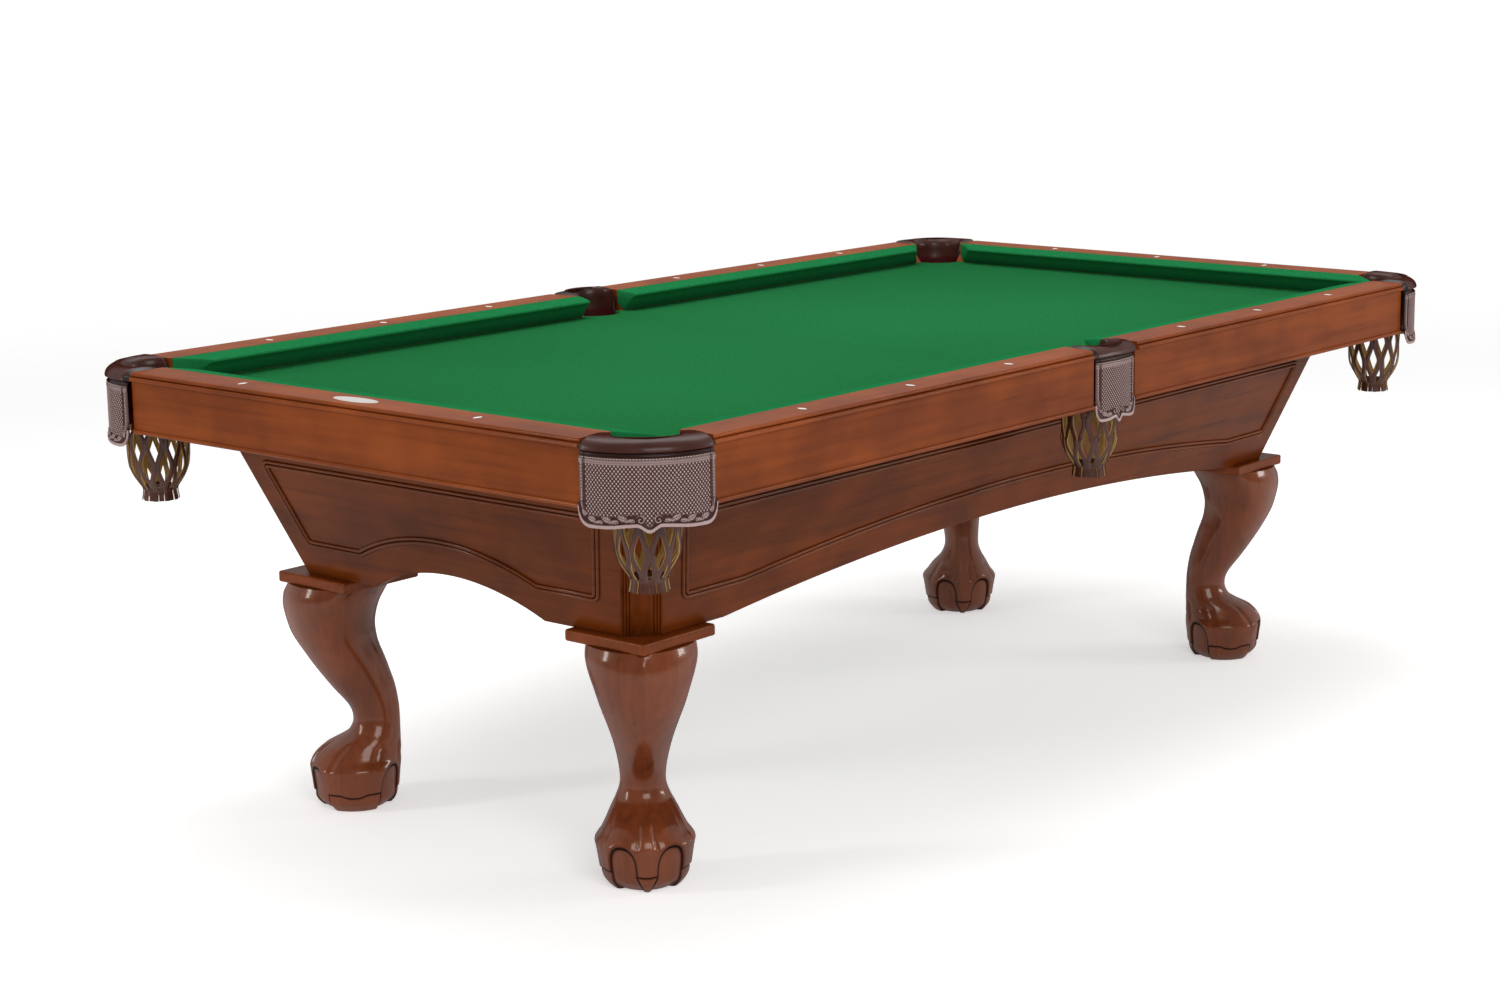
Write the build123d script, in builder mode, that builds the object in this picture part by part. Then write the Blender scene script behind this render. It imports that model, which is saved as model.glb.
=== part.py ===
from build123d import *
from math import cos, degrees, radians, sin, sqrt, tan
import os

# A pool table with drop pockets: claw-foot legs, a raked cabinet, a three-piece slate bed,
# six rails with aprons, and six leather pockets. Millimetres, +X along the length, +Y across
# the width, +Z up, origin on the floor under the middle of the bed.

# Playing field, nose to nose of the cushions
play_length = 2235.2
play_width = 1117.6
# Heights above the floor
rail_top = 813.0
rail_rise = 42.0
leg_height = 415.0
# Bed
cloth_thickness = 1.0
slate_thickness = 25.4
slate_margin = 70.0
slate_count = 3
# Rails, measured outwards from the cushion nose
cushion_width = 45.0
rail_flat_width = 110.0
cap_height = 16.0
rail_foot_inner = 32.0
rail_shoulder = 16.0
nose_drop = 5.0
nose_radius = 3.0
cushion_lift = 2.0
apron_face = 112.0
apron_thickness = 20.0
apron_depth = 91.0
apron_bead_height = 8.0
# Cabinet
cabinet_length = 1978.0
cabinet_width = 848.0
cabinet_rake = 19.2
panel_thickness = 22.0
post_face = 68.0
reed_pitch = 5.0
reed_width = 3.0
reed_depth = 2.5
reed_count = 3
reed_margin = 2.0
long_arch_flat = 151.0
end_arch_flat = 171.0
arch_rise = 52.0
long_frame_flat = 145.0
end_frame_flat = 133.0
frame_arch_rise = 49.0
frame_lift = 63.0
frame_margin_side = 52.0
frame_drop = 62.0
frame_band = 11.0
frame_relief = 3.0
beam_thickness = 38.0
beam_depth = 89.0
beam_gap = 0.3
# Leg plates and legs
plate_size = 175.0
plate_thickness = 20.0
plate_overhang = 17.0
plate_round = 4.0
leg_corner_inset = 16.0
leg_side_inset = 33.0
knee_swell = 7.0
ankle_height = 158.0
ball_radius = 71.0
ball_height = 54.0
ball_crown = 122.0
sole_radius = 55.0
toe_count = 4
toe_radius = 16.0
toe_reach = 66.0
toe_height = 66.0
toe_root_reach = 26.0
toe_root_height = 124.0
toe_tip_reach = 50.0
# Levelling feet
pad_radius = 25.0
pad_thickness = 6.0
stud_radius = 5.0
stud_length = 44.0
pad_clearance = 2.0
stud_clearance = 0.5
# Pockets
corner_pocket_out = 24.0
side_pocket_out = 58.7
corner_mouth = 123.0
side_mouth = 135.0
corner_jaw_angle = 142.0
side_jaw_angle = 104.0
ear_tip = 4.2
side_rail_clearance = 3.5
side_rail_flare = 15.0
slate_hole_gap = 2.5
corner_hole_radius = 52.0
side_hole_radius = 50.0
liner_wall = 4.5
liner_drop = 29.6
liner_gap = 3.6
rim_height = 23.0
rim_crown = 5.0
rim_proud = 6.0
rim_corner_radius = 140.0
rim_round = 9.0
rim_least_wall = 1.0
rim_gap = 0.5
shield_thickness = 4.0
shield_drop = 118.0
shield_lobe_rise = 5.0
shield_notch_rise = 10.0
shield_shoulder_rise = 24.0
shield_curl_rise = 8.0
shield_end_gap = 5.0
side_shield_width = 124.0
side_shield_radius = 250.0
net_wall = 3.5
net_drop = 152.0
net_belly_radius = 51.0
net_belly_drop = 70.0
net_neck_radius = 29.0
net_neck_drop = 123.0
net_hem_radius = 32.0
net_floor = 8.0
net_collar_step = 2.0
net_strap_count = 8
net_strap_gap = 0.3
# Inlays and fasteners
sight_length = 20.0
sight_width = 9.0
sight_depth = 2.0
sight_proud = 0.2
inlay_gap = 0.15
plate_oval_length = 100.0
plate_oval_width = 36.0
rail_bolt_out = 55.0
rail_bolt_radius = 5.0
rail_bolt_hole = 6.5
rail_bolt_grip = 22.0
rail_bolt_head = 10.0
rail_bolt_head_height = 7.0
rail_bolt_inset = 110.0
slate_screw_radius = 3.0
slate_screw_head = 7.0
slate_screw_depth = 22.0
slate_screw_inset = 17.6
leg_bolt_radius = 5.0
leg_bolt_head = 9.0
leg_bolt_head_height = 7.0
leg_bolt_depth = 60.0
leg_bolt_spread = 35.0
bolt_clearance = 0.4
# Shares of a shield's half width at which its lower edge turns, and how full a net's belly is
lobe_share = 0.78
notch_share = 0.42
curl_share = 0.2
belly_fullness = 0.75

# Places worked out from the driving dimensions
nose_x = play_length / 2
nose_y = play_width / 2
bed_height = rail_top - rail_rise
slate_top = bed_height - cloth_thickness
slate_bottom = slate_top - slate_thickness
slate_x = nose_x + slate_margin
slate_y = nose_y + slate_margin
cap_underside = rail_top - cap_height
apron_bottom = cap_underside - apron_depth
apron_inner = apron_face - apron_thickness
rail_bead_radius = cap_height / 4
rail_outer = rail_flat_width + 2 * rail_bead_radius
apron_bead_radius = apron_bead_height / 2
plate_top = leg_height + plate_thickness
rake = tan(radians(cabinet_rake))
cabinet_rise = slate_bottom - plate_top
bottom_x = cabinet_length / 2
bottom_y = cabinet_width / 2
post_leg = post_face / sqrt(2)
leg_x = bottom_x + plate_overhang - plate_size / 2
leg_y = bottom_y + plate_overhang - plate_size / 2
corner_x = nose_x + corner_pocket_out
corner_y = nose_y + corner_pocket_out
side_y = nose_y + side_pocket_out
jaw_setback = corner_mouth / sqrt(2)
jaw_run = cushion_width / tan(radians(180 - corner_jaw_angle))
side_jaw_run = cushion_width * tan(radians(side_jaw_angle - 90))
ear_foot_x = nose_x + cushion_width + rim_gap
ear_foot_y = nose_y + cushion_width + rim_gap
ear_drop = sqrt(corner_hole_radius**2 - (ear_foot_x - corner_x) ** 2)
ear_x = corner_x - ear_drop - ear_tip
ear_y = corner_y - ear_drop - ear_tip
rail_end_x = ear_x - rim_gap
rail_end_y = ear_y - rim_gap
rim_top = rail_top + rim_crown
rim_bottom = rim_top - rim_height
rim_x = nose_x + rail_outer + rim_proud
rim_y = nose_y + rail_outer + rim_proud
sight_pitch = play_length / 8
sight_out = (cushion_width + rail_flat_width) / 2
slate_piece = 2 * slate_x / slate_count
side_rail_half_gap = side_hole_radius + liner_wall + side_rail_clearance
flare_slope = side_rail_flare / (rail_outer - cushion_width)
rail_start_inner = side_rail_half_gap - flare_slope * (cushion_width - rail_foot_inner)
rail_start_outer = side_rail_half_gap + side_rail_flare
plate_place = (-nose_x - sight_out, 0)
liner_bottom = slate_bottom - liner_drop
net_bottom = liner_bottom - net_drop
net_belly_height = liner_bottom - net_belly_drop
net_neck_height = liner_bottom - net_neck_drop

base_up = (Align.CENTER, Align.CENTER, Align.MIN)
top_down = (Align.CENTER, Align.CENTER, Align.MAX)
corners = {
    "front_left": (-1, -1),
    "front_right": (1, -1),
    "back_left": (-1, 1),
    "back_right": (1, 1),
}
sides = {"front_middle": -1, "back_middle": 1}
ends = {"left": -1, "right": 1}


def save(piece, name):
    piece.part.label = name
    export_step(piece.part, f"parts/{name}.step")


def cabinet_half(z):
    """Half length and half width of the raked cabinet at height z."""
    spread = rake * (z - plate_top)
    return bottom_x + spread, bottom_y + spread


def long_section(sy):
    """Section plane of a long rail: local x outwards from the nose, local y up."""
    return Plane(origin=(0, sy * nose_y, 0), x_dir=(0, sy, 0), z_dir=(sy, 0, 0))


def end_section(sx):
    """Section plane of an end rail: local x outwards from the nose, local y up."""
    return Plane(origin=(sx * nose_x, 0, 0), x_dir=(sx, 0, 0), z_dir=(0, -sx, 0))


def long_plan(sx, sy, inner, outer, start, end):
    """Plan corners of a half-length strip; start and end give x at its inner and outer edge."""
    near = sy * (nose_y + inner)
    far = sy * (nose_y + outer)
    return [(sx * start[0], near), (sx * start[1], far), (sx * end[1], far), (sx * end[0], near)]


def end_plan(sx, inner, outer, end):
    """Plan corners of an end strip; end gives y at its inner and outer edge."""
    near = sx * (nose_x + inner)
    far = sx * (nose_x + outer)
    return [(near, -end[0]), (far, -end[1]), (far, end[1]), (near, end[0])]


def long_sights(sx, sy):
    return [(sx * k * sight_pitch, sy * (nose_y + sight_out)) for k in (1, 2, 3)]


def end_sights(sx):
    """The left end rail carries the blank oval plate in place of its middle sight."""
    offsets = (-1, 1) if sx < 0 else (-1, 0, 1)
    return [(sx * (nose_x + sight_out), k * sight_pitch) for k in offsets]


def long_bolts(sx, sy):
    first = rail_start_outer + rail_bolt_inset
    last = rail_end_x - rail_bolt_inset
    return [(sx * x, sy * (nose_y + rail_bolt_out)) for x in (first, (first + last) / 2, last)]


def end_bolts(sx):
    last = rail_end_y - rail_bolt_inset
    return [(sx * (nose_x + rail_bolt_out), y) for y in (-last, 0, last)]


def drill_rail_bolts(places):
    """Blind holes in the underside of a rail."""
    with Locations(*[(x, y, bed_height) for x, y in places]):
        Cylinder(
            rail_bolt_radius + bolt_clearance,
            rail_bolt_grip + bolt_clearance,
            align=base_up,
            mode=Mode.SUBTRACT,
        )


all_rail_bolts = []
for signs in corners.values():
    all_rail_bolts += long_bolts(*signs)
for sx in ends.values():
    all_rail_bolts += end_bolts(sx)

os.makedirs("parts", exist_ok=True)

# Rail section: flat top, double bead on the outer edge, shoulder under the cushion
bead_step = rail_top - 2 * rail_bead_radius
with BuildSketch() as rail_profile:
    with BuildLine():
        Line((cushion_width, rail_top), (rail_flat_width, rail_top))
        ThreePointArc(
            (rail_flat_width, rail_top),
            (rail_flat_width + rail_bead_radius, rail_top - rail_bead_radius),
            (rail_flat_width, bead_step),
        )
        Line((rail_flat_width, bead_step), (rail_outer - rail_bead_radius, bead_step))
        ThreePointArc(
            (rail_outer - rail_bead_radius, bead_step),
            (rail_outer, bead_step - rail_bead_radius),
            (rail_outer - rail_bead_radius, cap_underside),
        )
        Polyline(
            (rail_outer - rail_bead_radius, cap_underside),
            (apron_inner, cap_underside),
            (apron_inner, bed_height),
            (rail_foot_inner, bed_height),
            (cushion_width, bed_height + rail_shoulder),
            (cushion_width, rail_top),
        )
    make_face()

# Apron section: a board with a half-round bead along its lower edge
apron_bead_top = apron_bottom + apron_bead_height
with BuildSketch() as apron_profile:
    with BuildLine():
        Polyline(
            (apron_face, apron_bead_top),
            (apron_face, cap_underside),
            (apron_inner, cap_underside),
            (apron_inner, apron_bottom),
            (apron_face, apron_bottom),
        )
        ThreePointArc(
            (apron_face, apron_bottom),
            (apron_face + apron_bead_radius, apron_bottom + apron_bead_radius),
            (apron_face, apron_bead_top),
        )
    make_face()

# Cushion section: sloping top, rounded nose and an undercut face that stops above the bed
nose_top = rail_top - nose_drop
nose_under = nose_top - 2 * nose_radius
cushion_foot = rail_foot_inner + (cushion_width - rail_foot_inner) * cushion_lift / rail_shoulder
with BuildSketch() as cushion_profile:
    with BuildLine():
        Line((cushion_width, rail_top), (nose_radius, nose_top))
        ThreePointArc(
            (nose_radius, nose_top), (0, nose_top - nose_radius), (nose_radius, nose_under)
        )
        Polyline(
            (nose_radius, nose_under),
            (cushion_foot, bed_height + cushion_lift),
            (cushion_width, bed_height + rail_shoulder),
            (cushion_width, rail_top),
        )
    make_face()

# Pointed-oval sight and oval plate, with the slightly larger recesses they sit in
with BuildSketch() as sight_shape:
    with BuildLine():
        ThreePointArc((0, -sight_length / 2), (sight_width / 2, 0), (0, sight_length / 2))
        ThreePointArc((0, sight_length / 2), (-sight_width / 2, 0), (0, -sight_length / 2))
    make_face()
with BuildSketch() as sight_recess:
    add(sight_shape.sketch)
    offset(amount=inlay_gap)
with BuildSketch() as plate_shape:
    Ellipse(plate_oval_width / 2, plate_oval_length / 2)
with BuildSketch() as plate_recess:
    Ellipse(plate_oval_width / 2 + inlay_gap, plate_oval_length / 2 + inlay_gap)

# Long rails, aprons and cushions: two halves a side, each from a side pocket to a corner pocket
for name, (sx, sy) in corners.items():
    rail_plan = long_plan(
        sx,
        sy,
        rail_foot_inner,
        rail_outer,
        (rail_start_inner, rail_start_outer),
        (rail_end_x, rail_end_x),
    )
    with BuildPart() as rail:
        with BuildSketch(long_section(sy)):
            add(rail_profile.sketch)
        extrude(amount=play_length, both=True)
        with BuildSketch():
            Polygon(*rail_plan, align=None)
        extrude(amount=rim_top, mode=Mode.INTERSECT)
        with BuildSketch(Plane.XY.offset(rail_top)):
            with Locations(*long_sights(sx, sy)):
                add(sight_recess.sketch)
        extrude(amount=-sight_depth, mode=Mode.SUBTRACT)
        drill_rail_bolts(long_bolts(sx, sy))
    save(rail, f"rail_{name}")

    apron_start = side_shield_width / 2 + shield_end_gap
    with BuildPart() as apron:
        with BuildSketch(long_section(sy)):
            add(apron_profile.sketch)
        extrude(amount=play_length, both=True)
        with BuildSketch():
            Polygon(
                *long_plan(
                    sx,
                    sy,
                    apron_inner,
                    apron_face + apron_bead_radius,
                    (apron_start, apron_start),
                    (rail_end_x, rail_end_x),
                ),
                align=None,
            )
        extrude(amount=rim_top, mode=Mode.INTERSECT)
    save(apron, f"apron_{name}")

    cushion_plan = long_plan(
        sx,
        sy,
        0,
        cushion_width,
        (side_mouth / 2, side_mouth / 2 - side_jaw_run),
        (nose_x - jaw_setback, nose_x - jaw_setback + jaw_run),
    )
    with BuildPart() as cushion:
        with BuildSketch(long_section(sy)):
            add(cushion_profile.sketch)
        extrude(amount=play_length, both=True)
        with BuildSketch():
            Polygon(*cushion_plan, align=None)
        extrude(amount=rim_top, mode=Mode.INTERSECT)
    save(cushion, f"cushion_{name}")

# End rails, aprons and cushions, from corner pocket to corner pocket
for name, sx in ends.items():
    with BuildPart() as rail:
        with BuildSketch(end_section(sx)):
            add(rail_profile.sketch)
        extrude(amount=rail_end_y, both=True)
        with BuildSketch(Plane.XY.offset(rail_top)):
            with Locations(*end_sights(sx)):
                add(sight_recess.sketch, rotation=90)
            if sx < 0:
                with Locations(plate_place):
                    add(plate_recess.sketch)
        extrude(amount=-sight_depth, mode=Mode.SUBTRACT)
        drill_rail_bolts(end_bolts(sx))
    save(rail, f"rail_{name}")

    with BuildPart() as apron:
        with BuildSketch(end_section(sx)):
            add(apron_profile.sketch)
        extrude(amount=rail_end_y, both=True)
    save(apron, f"apron_{name}")

    cushion_plan = end_plan(
        sx, 0, cushion_width, (nose_y - jaw_setback, nose_y - jaw_setback + jaw_run)
    )
    with BuildPart() as cushion:
        with BuildSketch(end_section(sx)):
            add(cushion_profile.sketch)
        extrude(amount=play_width, both=True)
        with BuildSketch():
            Polygon(*cushion_plan, align=None)
        extrude(amount=rim_top, mode=Mode.INTERSECT)
    save(cushion, f"cushion_{name}")

# Slate bed in three pieces, notched at the pockets, drilled for rail bolts and countersunk screws
corner_places = [(sx * corner_x, sy * corner_y) for sx, sy in corners.values()]
side_places = [(0, sy * side_y) for sy in sides.values()]
top_x, top_y = cabinet_half(slate_bottom)
screw_x = top_x - slate_screw_inset
screw_y = top_y - slate_screw_inset
slate_screws = []
for row in (-1, 1):
    slate_screws += [(k * slate_piece / 4, row * screw_y) for k in (-5, -3, -1, 1, 3, 5)]
    slate_screws += [(row * screw_x, k * screw_y / 2) for k in (-1, 1)]

slate_corner_hole = corner_hole_radius + liner_wall + slate_hole_gap
slate_side_hole = side_hole_radius + liner_wall + slate_hole_gap
with BuildSketch() as bed_outline:
    Rectangle(2 * slate_x, 2 * slate_y)
    with Locations(*corner_places):
        Circle(slate_corner_hole, mode=Mode.SUBTRACT)
    with Locations(*side_places):
        Circle(slate_side_hole, mode=Mode.SUBTRACT)
    for sx, sy in corners.values():
        with Locations((sx * (corner_x + slate_corner_hole), sy * (corner_y + slate_corner_hole))):
            Rectangle(2 * slate_corner_hole, 2 * slate_corner_hole, mode=Mode.SUBTRACT)
    with Locations(*all_rail_bolts):
        Circle(rail_bolt_hole, mode=Mode.SUBTRACT)

for index, name in enumerate(("left", "middle", "right")):
    middle = (index - (slate_count - 1) / 2) * slate_piece
    with BuildPart() as slate:
        with BuildSketch(Plane.XY.offset(slate_bottom)):
            with Locations((middle, 0)):
                Rectangle(slate_piece, 2 * slate_y)
            add(bed_outline.sketch, mode=Mode.INTERSECT)
        extrude(amount=slate_thickness)
        on_piece = [(x, y, slate_top) for x, y in slate_screws if abs(x - middle) < slate_piece / 2]
        with Locations(*on_piece):
            CounterSinkHole(
                slate_screw_radius + bolt_clearance,
                slate_screw_head + bolt_clearance,
                counter_sink_angle=90,
            )
    save(slate, f"slate_{name}")

with BuildPart() as bed_cloth:
    with BuildSketch(Plane.XY.offset(slate_top)):
        add(bed_outline.sketch)
    extrude(amount=cloth_thickness)
save(bed_cloth, "bed_cloth")

# Slate screws, heads flush with the slate
with BuildPart() as screws:
    with Locations(*[(x, y, slate_top) for x, y in slate_screws]):
        Cylinder(slate_screw_radius, slate_thickness + slate_screw_depth, align=top_down)
        Cone(
            slate_screw_radius,
            slate_screw_head,
            slate_screw_head - slate_screw_radius,
            align=top_down,
        )
save(screws, "slate_screws")

# Rail bolts, up through the slate into each rail, with washer heads under the slate
with BuildPart() as rail_bolts:
    with Locations(*[(x, y, slate_bottom) for x, y in all_rail_bolts]):
        Cylinder(
            rail_bolt_radius,
            slate_thickness + cloth_thickness + rail_bolt_grip,
            align=base_up,
        )
        Cylinder(rail_bolt_head, rail_bolt_head_height, align=top_down)
save(rail_bolts, "rail_bolts")

# Pearl sights and the blank oval plate, let into the rail tops
all_long_sights = []
for signs in corners.values():
    all_long_sights += long_sights(*signs)
with BuildPart() as sights:
    with BuildSketch(Plane.XY.offset(rail_top - sight_depth)):
        with Locations(*all_long_sights):
            add(sight_shape.sketch)
        with Locations(*end_sights(-1), *end_sights(1)):
            add(sight_shape.sketch, rotation=90)
    extrude(amount=sight_depth + sight_proud)
save(sights, "rail_sights")

with BuildPart() as oval_plate:
    with BuildSketch(Plane.XY.offset(rail_top - sight_depth)):
        with Locations(plate_place):
            add(plate_shape.sketch)
    extrude(amount=sight_depth + sight_proud)
save(oval_plate, "oval_plate")

# Cabinet panels: raked boards with an arched lower edge and a raised bead frame, which give way
# to the pockets that hang beside them
panel_run = panel_thickness / cos(radians(cabinet_rake))
pocket_hang = slate_bottom - net_bottom
panels = {
    "front": ((0, -1), bottom_x, bottom_y, long_arch_flat, long_frame_flat),
    "back": ((0, 1), bottom_x, bottom_y, long_arch_flat, long_frame_flat),
    "left": ((-1, 0), bottom_y, bottom_x, end_arch_flat, end_frame_flat),
    "right": ((1, 0), bottom_y, bottom_x, end_arch_flat, end_frame_flat),
}
frame_bottom = plate_top + frame_lift
frame_top = apron_bottom - frame_drop
for name, ((ox, oy), half_run, half_out, arch_flat, frame_flat) in panels.items():
    section = Plane(origin=(0, 0, 0), x_dir=(ox, oy, 0), z_dir=(oy, -ox, 0))
    elevation = Plane(origin=(0, 0, 0), x_dir=(oy, -ox, 0), z_dir=(-ox, -oy, 0))
    top_out = half_out + rake * cabinet_rise
    low_end = half_run - post_leg
    high_end = low_end + rake * cabinet_rise
    frame_low = low_end - frame_margin_side + rake * frame_lift
    frame_high = low_end - frame_margin_side + rake * (frame_top - plate_top)
    arch_half = low_end - arch_flat
    frame_half = frame_low - frame_flat
    with BuildPart() as frame:
        with BuildSketch(section):
            Polygon(
                (half_out - frame_relief, plate_top),
                (half_out + frame_relief, plate_top),
                (top_out + frame_relief, slate_bottom),
                (top_out - frame_relief, slate_bottom),
                align=None,
            )
        extrude(amount=cabinet_length, both=True)
        with BuildSketch(elevation):
            with BuildLine():
                Polyline(
                    (frame_half, frame_bottom),
                    (frame_low, frame_bottom),
                    (frame_high, frame_top),
                    (-frame_high, frame_top),
                    (-frame_low, frame_bottom),
                    (-frame_half, frame_bottom),
                )
                ThreePointArc(
                    (-frame_half, frame_bottom),
                    (0, frame_bottom + frame_arch_rise),
                    (frame_half, frame_bottom),
                )
            make_face()
            offset(amount=frame_band / 2, kind=Kind.INTERSECTION)
            offset(amount=-frame_band, kind=Kind.INTERSECTION, mode=Mode.SUBTRACT)
        extrude(amount=cabinet_length, both=True, mode=Mode.INTERSECT)
    if oy:
        panel_screws = [(x, y) for x, y in slate_screws if y == oy * screw_y]
    else:
        panel_screws = [(x, y) for x, y in slate_screws if x == ox * screw_x]
    with BuildPart() as panel:
        with BuildSketch(section):
            Polygon(
                (half_out, plate_top),
                (top_out, slate_bottom),
                (top_out - panel_run, slate_bottom),
                (half_out - panel_run, plate_top),
                align=None,
            )
        extrude(amount=cabinet_length, both=True)
        with BuildSketch(elevation):
            with BuildLine():
                Polyline(
                    (arch_half, plate_top),
                    (low_end, plate_top),
                    (high_end, slate_bottom),
                    (-high_end, slate_bottom),
                    (-low_end, plate_top),
                    (-arch_half, plate_top),
                )
                ThreePointArc(
                    (-arch_half, plate_top), (0, plate_top + arch_rise), (arch_half, plate_top)
                )
            make_face()
        extrude(amount=cabinet_length, both=True, mode=Mode.INTERSECT)
        add(frame.part)
        with Locations(*[(x, y, slate_bottom) for x, y in panel_screws]):
            Cylinder(
                slate_screw_radius + bolt_clearance,
                slate_screw_depth + bolt_clearance,
                align=top_down,
                mode=Mode.SUBTRACT,
            )
        with Locations(*[(x, y, slate_bottom) for x, y in corner_places]):
            Cylinder(slate_corner_hole, pocket_hang, align=top_down, mode=Mode.SUBTRACT)
        with Locations(*[(x, y, slate_bottom) for x, y in side_places]):
            Cylinder(slate_side_hole, pocket_hang, align=top_down, mode=Mode.SUBTRACT)
    save(panel, f"panel_{name}")


# Corner posts: raked triangular posts whose outer face carries a group of reeds at each edge
def post_corners(z, sx, sy):
    hx, hy = cabinet_half(z)
    reeds = []
    for k in range(reed_count):
        middle = reed_margin + reed_pitch * (k + 0.5)
        reeds += [(middle - reed_width / 2, 0), (middle, reed_depth), (middle + reed_width / 2, 0)]
    mirrored = [(post_face - along, depth) for along, depth in reversed(reeds)]
    corner_points = [(hx - post_leg, hy - post_leg), (hx - post_leg, hy)]
    for along, depth in reeds + mirrored:
        corner_points.append(
            (hx - post_leg + (along - depth) / sqrt(2), hy - (along + depth) / sqrt(2))
        )
    corner_points.append((hx, hy - post_leg))
    return [(sx * x, sy * y) for x, y in corner_points]


with BuildPart() as posts:
    for sx, sy in corners.values():
        for z in (plate_top, slate_bottom):
            with BuildSketch(Plane.XY.offset(z)):
                Polygon(*post_corners(z, sx, sy), align=None)
        loft(ruled=True)
    with Locations(*[(x, y, slate_bottom) for x, y in corner_places]):
        Cylinder(slate_corner_hole, pocket_hang, align=top_down, mode=Mode.SUBTRACT)
save(posts, "corner_posts")

# Beams under the slate joints and along the middle of the bed
joint = slate_piece / 2
beam_low = slate_bottom - beam_depth
low_x, low_y = cabinet_half(beam_low)
reach_high_y = top_y - panel_run - beam_gap
reach_low_y = low_y - panel_run - beam_gap
reach_high_x = top_x - panel_run - beam_gap
reach_low_x = low_x - panel_run - beam_gap
beam_start = joint + beam_thickness / 2 + beam_gap
with BuildPart() as beams:
    for side in (-1, 1):
        with BuildSketch(Plane.YZ.offset(side * joint)):
            Polygon(
                (-reach_high_y, slate_bottom),
                (reach_high_y, slate_bottom),
                (reach_low_y, beam_low),
                (-reach_low_y, beam_low),
                align=None,
            )
        extrude(amount=beam_thickness / 2, both=True)
        with BuildSketch(Plane.XZ):
            Polygon(
                (side * beam_start, slate_bottom),
                (side * reach_high_x, slate_bottom),
                (side * reach_low_x, beam_low),
                (side * beam_start, beam_low),
                align=None,
            )
        extrude(amount=beam_thickness / 2, both=True)
    middle_half = joint - beam_thickness / 2 - beam_gap
    with BuildSketch(Plane.XZ):
        with Locations((0, (slate_bottom + beam_low) / 2)):
            Rectangle(2 * middle_half, beam_depth)
    extrude(amount=beam_thickness / 2, both=True)
save(beams, "bed_beams")

# Leg plates, and the bolts that go down through them into the legs
leg_places = [(sx * leg_x, sy * leg_y) for sx, sy in corners.values()]
leg_bolts = []
for sx, sy in corners.values():
    step = leg_bolt_spread / sqrt(2)
    leg_bolts += [(sx * (leg_x + k * step), sy * (leg_y - k * step)) for k in (-1, 1)]
with BuildPart() as plates:
    with Locations(*[(x, y, leg_height) for x, y in leg_places]):
        Box(plate_size, plate_size, plate_thickness, align=base_up)
    fillet(plates.edges(), radius=plate_round)
    with Locations(*[(x, y, leg_height) for x, y in leg_bolts]):
        Cylinder(
            leg_bolt_radius + bolt_clearance, plate_thickness, align=base_up, mode=Mode.SUBTRACT
        )
save(plates, "leg_plates")
with BuildPart() as bolts:
    with Locations(*[(x, y, plate_top) for x, y in leg_bolts]):
        Cylinder(leg_bolt_radius, plate_thickness + leg_bolt_depth, align=top_down)
        Cylinder(leg_bolt_head, leg_bolt_head_height, align=base_up)
save(bolts, "leg_bolts")

# Legs: height, outward reach, inward reach, half width and corner round at each station.
# Outward is along the diagonal, away from the middle of the table. The knee's stations lie
# at shares of the shaft between ankle and plate, and the two lowest ones go into the claw.
shaft = leg_height - ankle_height
leg_top_reach = plate_size / sqrt(2) - leg_corner_inset
leg_top_half = plate_size / sqrt(2) - leg_side_inset
leg_stations = [
    (leg_height, leg_top_reach, -75, leg_top_half, 8),
    (ankle_height + 0.84 * shaft, leg_top_reach + knee_swell, -48, leg_top_half - 3, 10),
    (ankle_height + 0.7 * shaft, 108, -39, 78, 10),
    (ankle_height + 0.6 * shaft, 98, -40, 70, 10),
    (ankle_height + 0.45 * shaft, 75, -58, 59, 10),
    (ankle_height + 0.23 * shaft, 36, -74, 45, 12),
    (ankle_height + 0.1 * shaft, 9, -79, 40, 14),
    (ankle_height, 2, -80, 40, 18),
    (ankle_height - 22, 8, -80, 47, 20),
    (ankle_height - 53, 35, -76, 58, 24),
]
round_loss = sqrt(2) - 1
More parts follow.
